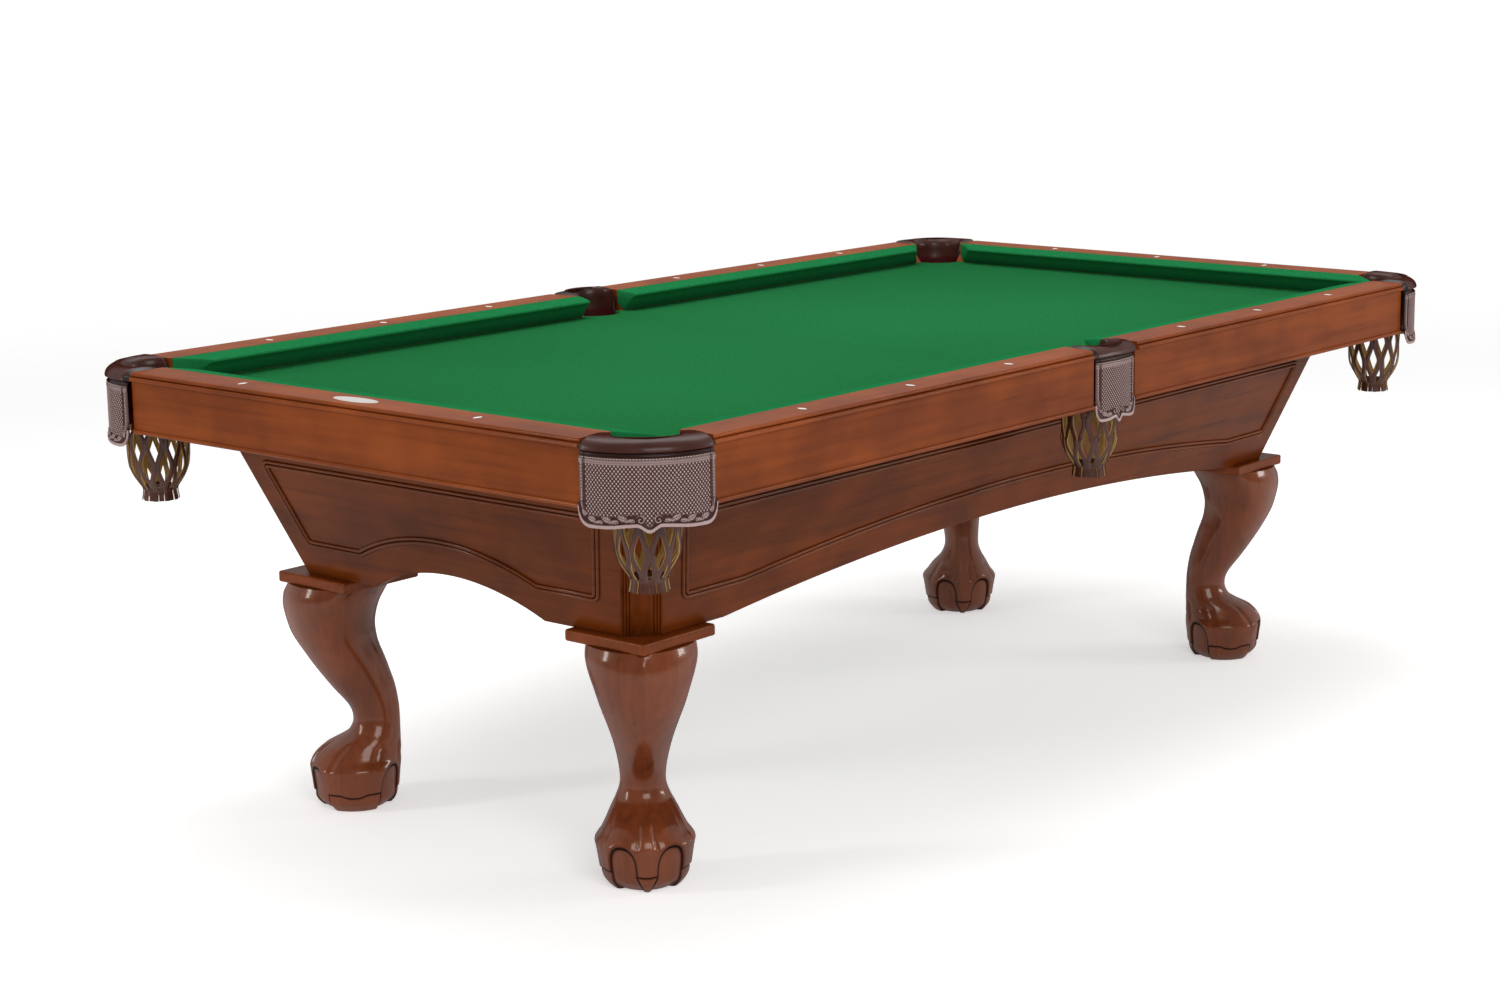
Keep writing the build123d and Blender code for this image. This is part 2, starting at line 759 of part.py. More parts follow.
for name, (sx, sy) in corners.items():
    foot = Plane(origin=(sx * leg_x, sy * leg_y, 0), x_dir=(sx, sy, 0), z_dir=(0, 0, 1))
    foot_upright = Plane(origin=foot.origin, x_dir=(1, 0, 0), z_dir=(0, -1, 0))
    with BuildPart() as leg:
        for z, outward, inward, half_width, corner_round in leg_stations:
            middle = (outward + inward) / 2
            half = (outward - inward) / 2 + round_loss * corner_round
            wide = half_width + round_loss * corner_round
            with BuildSketch(foot.offset(z)) as station:
                Polygon(
                    (middle + half, 0), (middle, wide), (middle - half, 0), (middle, -wide), align=None
                )
                fillet(station.vertices(), radius=corner_round)
        loft()
        with BuildSketch(foot_upright):
            with BuildLine():
                ThreePointArc((sole_radius, 0), (ball_radius, ball_height), (0, ball_crown))
                Polyline((0, ball_crown), (0, 0), (sole_radius, 0))
            make_face()
        revolve(axis=Axis(foot.origin, (0, 0, 1)))
        for k in range(toe_count):
            toe_dir = foot.x_dir.rotate(Axis.Z, k * 360 / toe_count)
            toe_plane = Plane(
                origin=foot.origin, x_dir=toe_dir, z_dir=toe_dir.cross(Vector(0, 0, 1))
            )
            with BuildLine(toe_plane) as toe_path:
                ThreePointArc(
                    (toe_tip_reach, 0), (toe_reach, toe_height), (toe_root_reach, toe_root_height)
                )
            with BuildSketch(Plane(origin=toe_path.line @ 0, z_dir=toe_path.line % 0)):
                Circle(toe_radius)
            sweep(path=toe_path.line)
        split(bisect_by=Plane.XY, keep=Keep.TOP)
        with Locations(foot):
            Cylinder(
                pad_radius + pad_clearance, pad_thickness, align=base_up, mode=Mode.SUBTRACT
            )
            Cylinder(
                stud_radius + stud_clearance,
                pad_thickness + stud_length + stud_clearance,
                align=base_up,
                mode=Mode.SUBTRACT,
            )
        near_bolts = [(x, y) for x, y in leg_bolts if x * sx > 0 and y * sy > 0]
        with Locations(*[(x, y, leg_height) for x, y in near_bolts]):
            Cylinder(
                leg_bolt_radius + bolt_clearance,
                leg_bolt_depth + bolt_clearance,
                align=top_down,
                mode=Mode.SUBTRACT,
            )
    save(leg, f"leg_{name}")

    # Levelling foot: a round pad on a stud that screws up into the claw
    with BuildPart() as leveller:
        with Locations(foot):
            Cylinder(pad_radius, pad_thickness, align=base_up)
        with Locations(foot.offset(pad_thickness)):
            Cylinder(stud_radius, stud_length, align=base_up)
    save(leveller, f"leveller_{name}")

# Corner pockets: a leather rim round the corner with a liner wall, a hanging shield and a net
rim_centre_x = rim_x - rim_corner_radius
rim_centre_y = rim_y - rim_corner_radius
liner_top_ring = slate_bottom - liner_gap
diagonal = 1 / sqrt(2)
corner_shield_half = (rim_y - rim_centre_y + rim_centre_x - ear_x - shield_end_gap) * diagonal
shield_tip = rim_bottom - shield_drop


def rounded_corner(radius, start_x, start_y):
    """Plan points of a rounded outer corner: straight start, arc, straight end."""
    far_x = rim_centre_x + radius
    far_y = rim_centre_y + radius
    middle = (rim_centre_x + radius * diagonal, rim_centre_y + radius * diagonal)
    return [(start_x, far_y), (rim_centre_x, far_y), middle, (far_x, rim_centre_y), (far_x, start_y)]


def scallop(half):
    """Lower edge of a shield from its left end to its right end: lobe, notch, point, notch, lobe."""
    left = [
        (-half, shield_tip + shield_shoulder_rise),
        (-half * lobe_share, shield_tip + shield_lobe_rise),
        (-half * notch_share, shield_tip + shield_notch_rise),
        (-half * curl_share, shield_tip + shield_curl_rise),
    ]
    right = [(-x, z) for x, z in reversed(left)]
    return left + [(0, shield_tip)] + right


for name, (sx, sy) in corners.items():
    rim_corner = [(sx * x, sy * y) for x, y in rounded_corner(rim_corner_radius, ear_x, ear_y)]
    hole_end = (sx * ear_foot_x, sy * (corner_y - ear_drop))
    hole_far = (
        sx * (corner_x + corner_hole_radius * diagonal),
        sy * (corner_y + corner_hole_radius * diagonal),
    )
    hole_start = (sx * (corner_x - ear_drop), sy * ear_foot_y)
    with BuildSketch() as rim_plan:
        with BuildLine():
            Line(rim_corner[0], rim_corner[1])
            ThreePointArc(*rim_corner[1:4])
            Line(rim_corner[3], rim_corner[4])
            Polyline(rim_corner[4], (sx * ear_foot_x, sy * ear_y), hole_end)
            ThreePointArc(hole_end, hole_far, hole_start)
            Polyline(hole_start, (sx * ear_x, sy * ear_foot_y), rim_corner[0])
        make_face()
    with BuildPart() as rim:
        with BuildSketch(Plane.XY.offset(rim_bottom)):
            add(rim_plan.sketch)
        extrude(amount=rim_height)
        top_edges = rim.edges().group_by(Axis.Z)[-1].filter_by(GeomType.CIRCLE)
        fillet(top_edges.sort_by(SortBy.RADIUS)[-1], radius=rim_round)
        with BuildSketch(Plane.XY.offset(liner_top_ring)):
            with Locations((sx * corner_x, sy * corner_y)):
                Circle(corner_hole_radius + liner_wall)
                Circle(corner_hole_radius, mode=Mode.SUBTRACT)
            add(rim_plan.sketch, mode=Mode.INTERSECT)
        extrude(amount=rim_bottom - liner_top_ring)
        with BuildSketch(Plane.XY.offset(liner_bottom)):
            with Locations((sx * corner_x, sy * corner_y)):
                Circle(corner_hole_radius + liner_wall)
                Circle(corner_hole_radius, mode=Mode.SUBTRACT)
        extrude(amount=liner_top_ring - liner_bottom)
    save(rim, f"pocket_rim_{name}")

    start_x = ear_x + shield_end_gap
    start_y = ear_y + shield_end_gap
    outside = [(sx * x, sy * y) for x, y in rounded_corner(rim_corner_radius, start_x, start_y)]
    inside_radius = rim_corner_radius - shield_thickness
    inside = [(sx * x, sy * y) for x, y in rounded_corner(inside_radius, start_x, start_y)]
    edge = scallop(corner_shield_half)
    facing = Plane(
        origin=(sx * rim_centre_x, sy * rim_centre_y, 0),
        x_dir=(-sy, sx, 0),
        z_dir=(sx, sy, 0),
    )
    with BuildPart() as shield:
        with BuildSketch(Plane.XY.offset(rim_bottom)):
            with BuildLine():
                Line(outside[0], outside[1])
                ThreePointArc(*outside[1:4])
                Polyline(outside[3], outside[4], inside[4], inside[3])
                ThreePointArc(*inside[3:0:-1])
                Polyline(inside[1], inside[0], outside[0])
            make_face()
        extrude(amount=-shield_drop)
        with BuildSketch(facing):
            with BuildLine():
                ThreePointArc(*edge[0:3])
                ThreePointArc(*edge[2:5])
                ThreePointArc(*edge[4:7])
                ThreePointArc(*edge[6:9])
                Polyline(
                    edge[8],
                    (corner_shield_half, rim_bottom),
                    (-corner_shield_half, rim_bottom),
                    edge[0],
                )
            make_face()
        extrude(amount=2 * rim_corner_radius, mode=Mode.INTERSECT)
    save(shield, f"pocket_shield_{name}")

# Side pockets: a rim across the gap between two rail halves, with the same liner and a flatter shield
side_ear = side_rail_half_gap - rim_gap
side_flare = side_shield_width / 2 + shield_end_gap - rim_gap
side_ear_drop = sqrt(side_hole_radius**2 - (side_y - ear_foot_y) ** 2)
side_shoulder_y = nose_y + rail_outer
side_wall = rim_y - side_y - side_hole_radius - rim_least_wall
side_half = side_shield_width / 2
inner_radius = side_shield_radius - shield_thickness
bow = side_shield_radius - sqrt(side_shield_radius**2 - side_half**2)
inner_bow = inner_radius - sqrt(inner_radius**2 - side_half**2)
for name, sy in sides.items():
    with BuildSketch() as rim_plan:
        with BuildLine():
            Polyline(
                (-side_ear_drop, sy * ear_foot_y),
                (-side_ear, sy * ear_foot_y),
                (-side_flare, sy * side_shoulder_y),
            )
            ThreePointArc(
                (-side_flare, sy * side_shoulder_y), (0, sy * rim_y), (side_flare, sy * side_shoulder_y)
            )
            Polyline(
                (side_flare, sy * side_shoulder_y),
                (side_ear, sy * ear_foot_y),
                (side_ear_drop, sy * ear_foot_y),
            )
            ThreePointArc(
                (side_ear_drop, sy * ear_foot_y),
                (0, sy * (side_y + side_hole_radius)),
                (-side_ear_drop, sy * ear_foot_y),
            )
        make_face()
    with BuildPart() as rim:
        with BuildSketch(Plane.XY.offset(rim_bottom)):
            add(rim_plan.sketch)
        extrude(amount=rim_height)
        top_edges = rim.edges().group_by(Axis.Z)[-1].filter_by(GeomType.CIRCLE)
        fillet(top_edges.sort_by(SortBy.RADIUS)[-1], radius=min(rim_round, side_wall))
        with BuildSketch(Plane.XY.offset(liner_top_ring)):
            with Locations((0, sy * side_y)):
                Circle(side_hole_radius + liner_wall)
                Circle(side_hole_radius, mode=Mode.SUBTRACT)
            add(rim_plan.sketch, mode=Mode.INTERSECT)
        extrude(amount=rim_bottom - liner_top_ring)
        with BuildSketch(Plane.XY.offset(liner_bottom)):
            with Locations((0, sy * side_y)):
                Circle(side_hole_radius + liner_wall)
                Circle(side_hole_radius, mode=Mode.SUBTRACT)
        extrude(amount=liner_top_ring - liner_bottom)
    save(rim, f"pocket_rim_{name}")

    edge = scallop(side_half)
    facing = Plane(origin=(0, 0, 0), x_dir=(-sy, 0, 0), z_dir=(0, sy, 0))
    with BuildPart() as shield:
        with BuildSketch(Plane.XY.offset(rim_bottom)):
            with BuildLine():
                ThreePointArc(
                    (-side_half, sy * (rim_y - bow)), (0, sy * rim_y), (side_half, sy * (rim_y - bow))
                )
                Line(
                    (side_half, sy * (rim_y - bow)),
                    (side_half, sy * (rim_y - shield_thickness - inner_bow)),
                )
                ThreePointArc(
                    (side_half, sy * (rim_y - shield_thickness - inner_bow)),
                    (0, sy * (rim_y - shield_thickness)),
                    (-side_half, sy * (rim_y - shield_thickness - inner_bow)),
                )
                Line(
                    (-side_half, sy * (rim_y - shield_thickness - inner_bow)),
                    (-side_half, sy * (rim_y - bow)),
                )
            make_face()
        extrude(amount=-shield_drop)
        with BuildSketch(facing):
            with BuildLine():
                ThreePointArc(*edge[0:3])
                ThreePointArc(*edge[2:5])
                ThreePointArc(*edge[4:7])
                ThreePointArc(*edge[6:9])
                Polyline(edge[8], (side_half, rim_bottom), (-side_half, rim_bottom), edge[0])
            make_face()
        extrude(amount=2 * rim_y, mode=Mode.INTERSECT)
    save(shield, f"pocket_shield_{name}")

# Nets: baskets of straps in two tiers that hang from the liners, drawn in to a neck above a flared hem
pockets = {}
for name, (sx, sy) in corners.items():
    pockets[name] = (sx * corner_x, sy * corner_y, corner_hole_radius)
for name, sy in sides.items():
    pockets[name] = (0, sy * side_y, side_hole_radius)
floor_top = net_neck_height + net_floor / 2
floor_bottom = net_neck_height - net_floor / 2
tier_top = net_belly_height - net_strap_gap
tier_bottom = floor_top + net_strap_gap
belly_turn = (tier_top + tier_bottom) / 2
belly_side = net_neck_radius + (net_belly_radius - net_neck_radius) * belly_fullness
strap_turns = [radians(360 * k / net_strap_count) for k in range(net_strap_count)]
strap_arc = 360 / net_strap_count - degrees(net_strap_gap / net_neck_radius)
for name, (px, py, hole_radius) in pockets.items():
    collar = hole_radius + net_collar_step
    axis = Axis((px, py, 0), (0, 0, 1))
    spokes = [
        Plane(origin=(px, py, 0), x_dir=(cos(turn), sin(turn), 0), z_dir=(sin(turn), -cos(turn), 0))
        for turn in strap_turns
    ]
    with BuildPart() as net:
        with BuildSketch(*spokes):
            Polygon(
                (collar - net_wall, liner_bottom),
                (collar, liner_bottom),
                (net_belly_radius, net_belly_height),
                (net_belly_radius - net_wall, net_belly_height),
                align=None,
            )
        revolve(axis=axis, revolution_arc=strap_arc)
        with BuildSketch(*spokes):
            with BuildLine():
                Line((net_belly_radius - net_wall, tier_top), (net_belly_radius, tier_top))
                ThreePointArc(
                    (net_belly_radius, tier_top),
                    (belly_side, belly_turn),
                    (net_neck_radius, tier_bottom),
                )
                Line((net_neck_radius, tier_bottom), (net_neck_radius - net_wall, tier_bottom))
                ThreePointArc(
                    (net_neck_radius - net_wall, tier_bottom),
                    (belly_side - net_wall, belly_turn),
                    (net_belly_radius - net_wall, tier_top),
                )
            make_face()
        revolve(axis=axis, revolution_arc=strap_arc)
        with BuildSketch(spokes[0]):
            Polygon(
                (0, floor_bottom),
                (net_neck_radius - net_wall, floor_bottom),
                (net_hem_radius - net_wall, net_bottom),
                (net_hem_radius, net_bottom),
                (net_neck_radius, net_neck_height),
                (net_neck_radius, floor_top),
                (0, floor_top),
                align=None,
            )
        revolve(axis=axis)
    save(net, f"pocket_net_{name}")
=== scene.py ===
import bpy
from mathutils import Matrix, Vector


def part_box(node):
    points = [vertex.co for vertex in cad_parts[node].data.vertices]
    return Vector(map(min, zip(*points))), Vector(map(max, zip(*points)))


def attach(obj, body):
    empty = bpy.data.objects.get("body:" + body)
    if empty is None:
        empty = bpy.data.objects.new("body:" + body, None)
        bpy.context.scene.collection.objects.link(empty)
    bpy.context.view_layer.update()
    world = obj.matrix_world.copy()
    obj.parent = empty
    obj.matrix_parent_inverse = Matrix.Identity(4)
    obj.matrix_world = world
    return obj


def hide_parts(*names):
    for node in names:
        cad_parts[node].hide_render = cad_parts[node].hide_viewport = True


bl_info = {
    "name": "Claw-foot pool table",
    "version": (1, 0, 0),
    "blender": (4, 5, 0),
    "location": "View3D > Sidebar > Pool table",
    "description": "Dresses the packed pool table with carved wood, tooled leather and green cloth",
    "category": "Object",
}

from math import atan2, cos, exp, hypot, pi, radians, sin, sqrt, tan

import bmesh
import bpy
from bpy.props import FloatProperty, FloatVectorProperty, IntProperty, PointerProperty
from bpy.types import Operator, Panel, PropertyGroup
from mathutils import Matrix, Vector

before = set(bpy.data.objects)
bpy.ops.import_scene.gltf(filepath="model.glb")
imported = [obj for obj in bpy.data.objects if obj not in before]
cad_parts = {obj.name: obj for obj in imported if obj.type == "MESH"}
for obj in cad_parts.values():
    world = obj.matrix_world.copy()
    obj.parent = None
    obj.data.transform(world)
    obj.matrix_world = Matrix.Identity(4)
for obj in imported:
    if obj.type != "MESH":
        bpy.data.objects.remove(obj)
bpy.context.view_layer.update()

corners = {
    "front_left": (-1, -1),
    "front_right": (1, -1),
    "back_left": (-1, 1),
    "back_right": (1, 1),
}
sides = {"front_middle": (0, -1), "back_middle": (0, 1)}
ends = {"left": -1, "right": 1}
pockets = {**corners, **sides}


def srgb(red, green, blue):
    """Scene-linear colour of an 8-bit screen colour."""
    shares = [value / 255 for value in (red, green, blue)]
    return tuple(s / 12.92 if s < 0.04 else ((s + 0.055) / 1.055) ** 2.4 for s in shares)


def colour(label, about, value):
    return FloatVectorProperty(
        name=label, description=about, subtype="COLOR", size=3, min=0, max=1, default=value
    )


def length(label, about, value):
    return FloatProperty(
        name=label, description=about, subtype="DISTANCE", unit="LENGTH", precision=4, default=value
    )


# Places that the frame gives
def centre(node):
    low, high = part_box(node)
    return (low + high) / 2


rail_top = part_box("rail_left")[1].z
rail_outer_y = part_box("rail_back_left")[1].y
bed_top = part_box("bed_cloth")[1].z
slate_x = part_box("slate_right")[1].x
slate_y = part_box("slate_right")[1].y
nose_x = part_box("cushion_right")[0].x
nose_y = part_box("cushion_back_right")[0].y
cushion_back_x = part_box("cushion_right")[1].x
cushion_back_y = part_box("cushion_back_right")[1].y
cushion_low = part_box("cushion_right")[0].z
rail_end_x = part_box("rail_back_right")[1].x
rail_end_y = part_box("rail_right")[1].y
rim_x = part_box("pocket_rim_back_right")[1].x
rim_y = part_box("pocket_rim_back_right")[1].y
rim_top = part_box("pocket_rim_back_right")[1].z
liner_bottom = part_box("pocket_rim_back_right")[0].z
corner_x = centre("pocket_net_back_right").x
corner_y = centre("pocket_net_back_right").y
side_y = centre("pocket_net_back_middle").y
net_collar_step = 0.002
corner_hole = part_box("pocket_net_back_right")[1].x - corner_x - net_collar_step
side_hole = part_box("pocket_net_back_middle")[1].x - net_collar_step
shield_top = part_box("pocket_shield_back_right")[1].z
shield_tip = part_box("pocket_shield_back_right")[0].z
plate_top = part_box("leg_plates")[1].z
leg_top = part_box("leg_back_right")[1].z
leg_x = centre("leveller_back_right").x
leg_y = centre("leveller_back_right").y
panel_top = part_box("panel_front")[1].z
apron_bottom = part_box("apron_left")[0].z


class TableColours(PropertyGroup):
    rail_light: colour("Rail light", "Light streaks of the rails and aprons", srgb(148, 71, 24))
    rail_dark: colour("Rail dark", "Dark streaks of the rails and aprons", srgb(106, 46, 13))
    cabinet_light: colour("Cabinet light", "Light streaks of the cabinet", srgb(120, 56, 17))
    cabinet_dark: colour("Cabinet dark", "Dark streaks of the cabinet", srgb(80, 34, 9))
    leg_light: colour("Leg light", "Light streaks of the legs", srgb(130, 64, 34))
    leg_dark: colour("Leg dark", "Dark streaks of the legs", srgb(90, 41, 21))
    plate_light: colour("Plate light", "Light streaks of the leg plates", srgb(136, 64, 23))
    plate_dark: colour("Plate dark", "Dark streaks of the leg plates", srgb(102, 45, 13))
    bare_light: colour("Bare wood light", "Light grain of the hidden beams", srgb(206, 178, 138))
    bare_dark: colour("Bare wood dark", "Dark grain of the hidden beams", srgb(168, 132, 92))
    leather: colour("Leather", "Polished leather of rims and shields", srgb(72, 38, 31))
    leather_deep: colour("Leather hollows", "Stain left in the hollows of the leather", srgb(38, 18, 15))
    # Painted highlight: this pale colour, mixed onto the tops of the tooled shields, stands in for light
    # reflected off them
    leather_painted_highlight: colour("Leather crests", "Painted highlight on the tops of the tooling", srgb(186, 160, 158))
    liner: colour("Liner", "Oxblood lining inside the pockets", srgb(74, 24, 27))
    raw_edge: colour("Raw edge", "Cut edges and flesh side of the net straps", srgb(180, 142, 78))
    bed_green: colour("Bed cloth", "Napped wool on the bed", srgb(34, 109, 60))
    cushion_green: colour("Cushion cloth", "Wool over the cushions", srgb(31, 116, 66))
    strap: colour("Strap", "Grain side of the net straps", srgb(84, 47, 37))
    # Painted shade: near black on the pinched ends of the rims, where they are recessed at the rails
    ear: colour("Rim ears", "Painted shade at the recessed ends of the rims", srgb(16, 11, 11))
    slate: colour("Slate", "Honed slate", srgb(92, 95, 99))
    pearl: colour("Pearl", "Sights in the rail tops", srgb(232, 228, 220))
    plate_metal: colour("Oval plate", "Blank plate in the end rail", srgb(198, 194, 187))
    steel: colour("Steel", "Levellers and fasteners", srgb(150, 150, 152))
    thread: colour("Thread", "Waxed stitching", srgb(214, 200, 186))


class TableSizes(PropertyGroup):
    rim_corner_radius: length("Rim corner", "Outer radius of a corner rim in plan", 0.140)
    hole_wall: length("Liner wall", "Thickness of the pocket liner", 0.0045)
    shield_wall: length("Shield wall", "Thickness of a leather shield", 0.0035)
    side_shield_half: length("Side shield half", "Half width of a side shield", 0.062)
    side_shield_radius: length("Side shield bow", "Radius of a side shield in plan", 0.250)
    weave_across: length("Weave across", "Width of one tooled diamond", 0.0062)
    weave_up: length("Weave up", "Height of one tooled diamond", 0.0074)
    strap_width: length("Strap width", "Width of a net strap", 0.0088)
    strap_wall: length("Strap thickness", "Thickness of a net strap", 0.0030)
    straps: IntProperty(name="Straps", description="Straps round a net", default=20, min=12)
    bead_radius: length("Frame bead", "Radius of each bead round a panel", 0.0035)
    nose_radius: length("Nose radius", "Rounding of a cushion's nose", 0.0035)


class StudioSettings(PropertyGroup):
    camera_place: FloatVectorProperty(
        name="Camera place",
        description="Where the camera stands",
        subtype="TRANSLATION",
        unit="LENGTH",
        default=(-4.188, -3.412, 1.563),
    )
    azimuth: FloatProperty(
        name="Azimuth", description="Camera azimuth", unit="ROTATION", default=radians(-52.03)
    )
    elevation: FloatProperty(
        name="Elevation", description="Camera elevation", unit="ROTATION", default=radians(11.02)
    )
    roll: FloatProperty(
        name="Roll", description="Camera roll", unit="ROTATION", default=radians(-0.364)
    )
    lens: FloatProperty(name="Lens", description="Focal length in mm", default=67.45)
    shift_x: FloatProperty(name="Shift X", description="Sideways shift", default=-0.0891)
    shift_y: FloatProperty(name="Shift Y", description="Upward shift", default=-0.0209)
    floor_colour: colour("Floor", "Pale studio floor", srgb(244, 244, 243))


# Shader building


def put(tree, kind, **settings):
    node = tree.nodes.new(kind)
    for name, value in settings.items():
        setattr(node, name, value)
    return node


def fill(tree, socket, value):
    """Links an output to a socket, or sets a plain value on it."""
    if isinstance(value, bpy.types.NodeSocket):
        tree.links.new(value, socket)
    else:
        socket.default_value = value


def feed(tree, node, **inputs):
    """Fills a node's inputs, named with _ for a space."""
    for name, value in inputs.items():
        fill(tree, node.inputs[name.replace("_", " ")], value)
    return node


def group_shell(name, inputs, outputs):
    """An empty node group with these sockets, and its two end nodes."""
    tree = bpy.data.node_groups.new(name, "ShaderNodeTree")
    for socket, kind in inputs:
        tree.interface.new_socket(socket, in_out="INPUT", socket_type=kind)
    for socket, kind in outputs:
        tree.interface.new_socket(socket, in_out="OUTPUT", socket_type=kind)
    return tree, put(tree, "NodeGroupInput"), put(tree, "NodeGroupOutput")


def mix_colour(tree, factor, first, second):
    node = put(tree, "ShaderNodeMix", data_type="RGBA")
    for index, value in ((0, factor), (6, first), (7, second)):
        fill(tree, node.inputs[index], value)
    return node.outputs[2]


def math(tree, operation, first, second=0.0):
    node = put(tree, "ShaderNodeMath", operation=operation)
    for socket, value in zip(node.inputs, (first, second)):
        fill(tree, socket, value)
    return node.outputs[0]


def stretch(tree, vector, scale):
    node = put(tree, "ShaderNodeMapping")
    feed(tree, node, Vector=vector, Scale=scale)
    return node.outputs[0]


def ramp(tree, value, low, high):
    node = put(tree, "ShaderNodeMapRange", interpolation_type="SMOOTHSTEP")
    feed(tree, node, Value=value, From_Min=low, From_Max=high)
    return node.outputs[0]


def noise(tree, vector, scale, detail=3.0, distortion=0.0):
    node = put(tree, "ShaderNodeTexNoise")
    feed(tree, node, Vector=vector, Scale=scale, Detail=detail, Distortion=distortion)
    return node.outputs[0]


def build_timber_group():
    """Stained timber whose grain runs along X of the vector: broad figure, streaks and pores."""
    tree, start, end = group_shell(
        "Stained timber",
        [("Vector", "NodeSocketVector"), ("Light", "NodeSocketColor"), ("Dark", "NodeSocketColor")],
        [("Color", "NodeSocketColor"), ("Height", "NodeSocketFloat"), ("Roughness", "NodeSocketFloat")],
    )
    vector = start.outputs["Vector"]
    figure = noise(tree, stretch(tree, vector, (1.1, 7.0, 7.0)), 1.6, 2.0, 0.6)
    streaks = noise(tree, stretch(tree, vector, (2.2, 55.0, 55.0)), 1.5, 4.0, 0.25)
    pores = noise(tree, stretch(tree, vector, (14.0, 520.0, 520.0)), 1.0, 2.0)
    blotch = noise(tree, vector, 11.0, 3.0)
    tone = math(tree, "ADD", math(tree, "MULTIPLY", figure, 0.38), math(tree, "MULTIPLY", streaks, 0.28))
    tone = math(tree, "ADD", tone, math(tree, "MULTIPLY", blotch, 0.34))
    stained = mix_colour(
        tree, ramp(tree, tone, 0.30, 0.70), start.outputs["Dark"], start.outputs["Light"]
    )
    pore_mask = ramp(tree, pores, 0.60, 0.74)
    pore_tint = math(tree, "MULTIPLY", pore_mask, 0.22)
    flecked = mix_colour(tree, pore_tint, stained, start.outputs["Dark"])
    ridges = math(tree, "MULTIPLY", streaks, 0.35)
    height = math(tree, "SUBTRACT", ridges, math(tree, "MULTIPLY", pore_mask, 0.5))
    rough = math(tree, "ADD", math(tree, "MULTIPLY", streaks, 0.10), 0.24)
    feed(tree, end, Color=flecked, Height=height, Roughness=rough)
    return tree


def build_leather_group():
    """Fine pebbled leather with stain pooled in its creases."""
    tree, start, end = group_shell(
        "Pebbled leather",
        [("Vector", "NodeSocketVector"), ("Face", "NodeSocketColor"), ("Hollow", "NodeSocketColor")],
        [("Color", "NodeSocketColor"), ("Height", "NodeSocketFloat"), ("Roughness", "NodeSocketFloat")],
    )
    vector = start.outputs["Vector"]
    cells = put(tree, "ShaderNodeTexVoronoi", feature="DISTANCE_TO_EDGE")
    feed(tree, cells, Vector=vector, Scale=620.0)
    pebble = ramp(tree, cells.outputs["Distance"], 0.0, 0.22)
    clouds = noise(tree, vector, 26.0, 3.0)
    crease = math(tree, "MULTIPLY", math(tree, "SUBTRACT", 1.0, pebble), 0.35)
    pooled = math(tree, "ADD", crease, math(tree, "MULTIPLY", ramp(tree, clouds, 0.45, 0.75), 0.35))
    tinted = mix_colour(tree, pooled, start.outputs["Face"], start.outputs["Hollow"])
    rough = math(tree, "ADD", math(tree, "MULTIPLY", clouds, 0.16), 0.24)
    feed(tree, end, Color=tinted, Height=pebble, Roughness=rough)
    return tree


def build_cloth_group():
    """Napped wool: a fine twill under short brushed fibres."""
    tree, start, end = group_shell(
        "Napped wool",
        [("Vector", "NodeSocketVector"), ("Wool", "NodeSocketColor")],
        [("Color", "NodeSocketColor"), ("Height", "NodeSocketFloat")],
    )
    vector = start.outputs["Vector"]
    nap = noise(tree, stretch(tree, vector, (900.0, 1300.0, 1300.0)), 1.0, 3.0)
    mottle = noise(tree, vector, 140.0, 4.0)
    sweep = noise(tree, vector, 1.4, 1.0)
    twill = put(tree, "ShaderNodeTexWave", bands_direction="DIAGONAL")
    feed(tree, twill, Vector=vector, Scale=330.0, Distortion=0.6)
    tone = math(tree, "ADD", math(tree, "MULTIPLY", mottle, 0.45), math(tree, "MULTIPLY", sweep, 0.25))
    tone = math(tree, "ADD", tone, math(tree, "MULTIPLY", nap, 0.30))
    shade = put(tree, "ShaderNodeHueSaturation")
    feed(tree, shade, Color=start.outputs["Wool"], Value=0.88)
    lift = put(tree, "ShaderNodeHueSaturation")
    feed(tree, lift, Color=start.outputs["Wool"], Value=1.10)
    mixed = mix_colour(tree, ramp(tree, tone, 0.36, 0.64), shade.outputs[0], lift.outputs[0])
    height = math(tree, "ADD", nap, math(tree, "MULTIPLY", twill.outputs["Fac"], 0.35))
    feed(tree, end, Color=mixed, Height=height)
    return tree


groups = {}


def place_group(tree, name, **inputs):
    node = put(tree, "ShaderNodeGroup", node_tree=groups[name])
    return feed(tree, node, **inputs)


def rgba(values):
    return (*values, 1.0)


def blank_material(name):
    material = bpy.data.materials.new(name)
    material.use_nodes = True
    tree = material.node_tree
    return material, tree, tree.nodes["Principled BSDF"]


def bump(tree, height, strength, distance):
    node = put(tree, "ShaderNodeBump")
    feed(tree, node, Height=height, Strength=strength, Distance=distance)
    return node.outputs[0]


def object_vector(tree, turn=(0.0, 0.0, 0.0)):
    place = put(tree, "ShaderNodeTexCoord")
    mapping = put(tree, "ShaderNodeMapping")
    feed(tree, mapping, Vector=place.outputs["Object"], Rotation=turn)
    return mapping.outputs[0]


def head_on(tree, level, most=0.95):
    """A gloss level that falls away where a surface is seen at a grazing angle."""
    facing = put(tree, "ShaderNodeLayerWeight").outputs["Facing"]
    return math(tree, "MULTIPLY", math(tree, "SUBTRACT", 1.0, ramp(tree, facing, 0.25, most)), level)


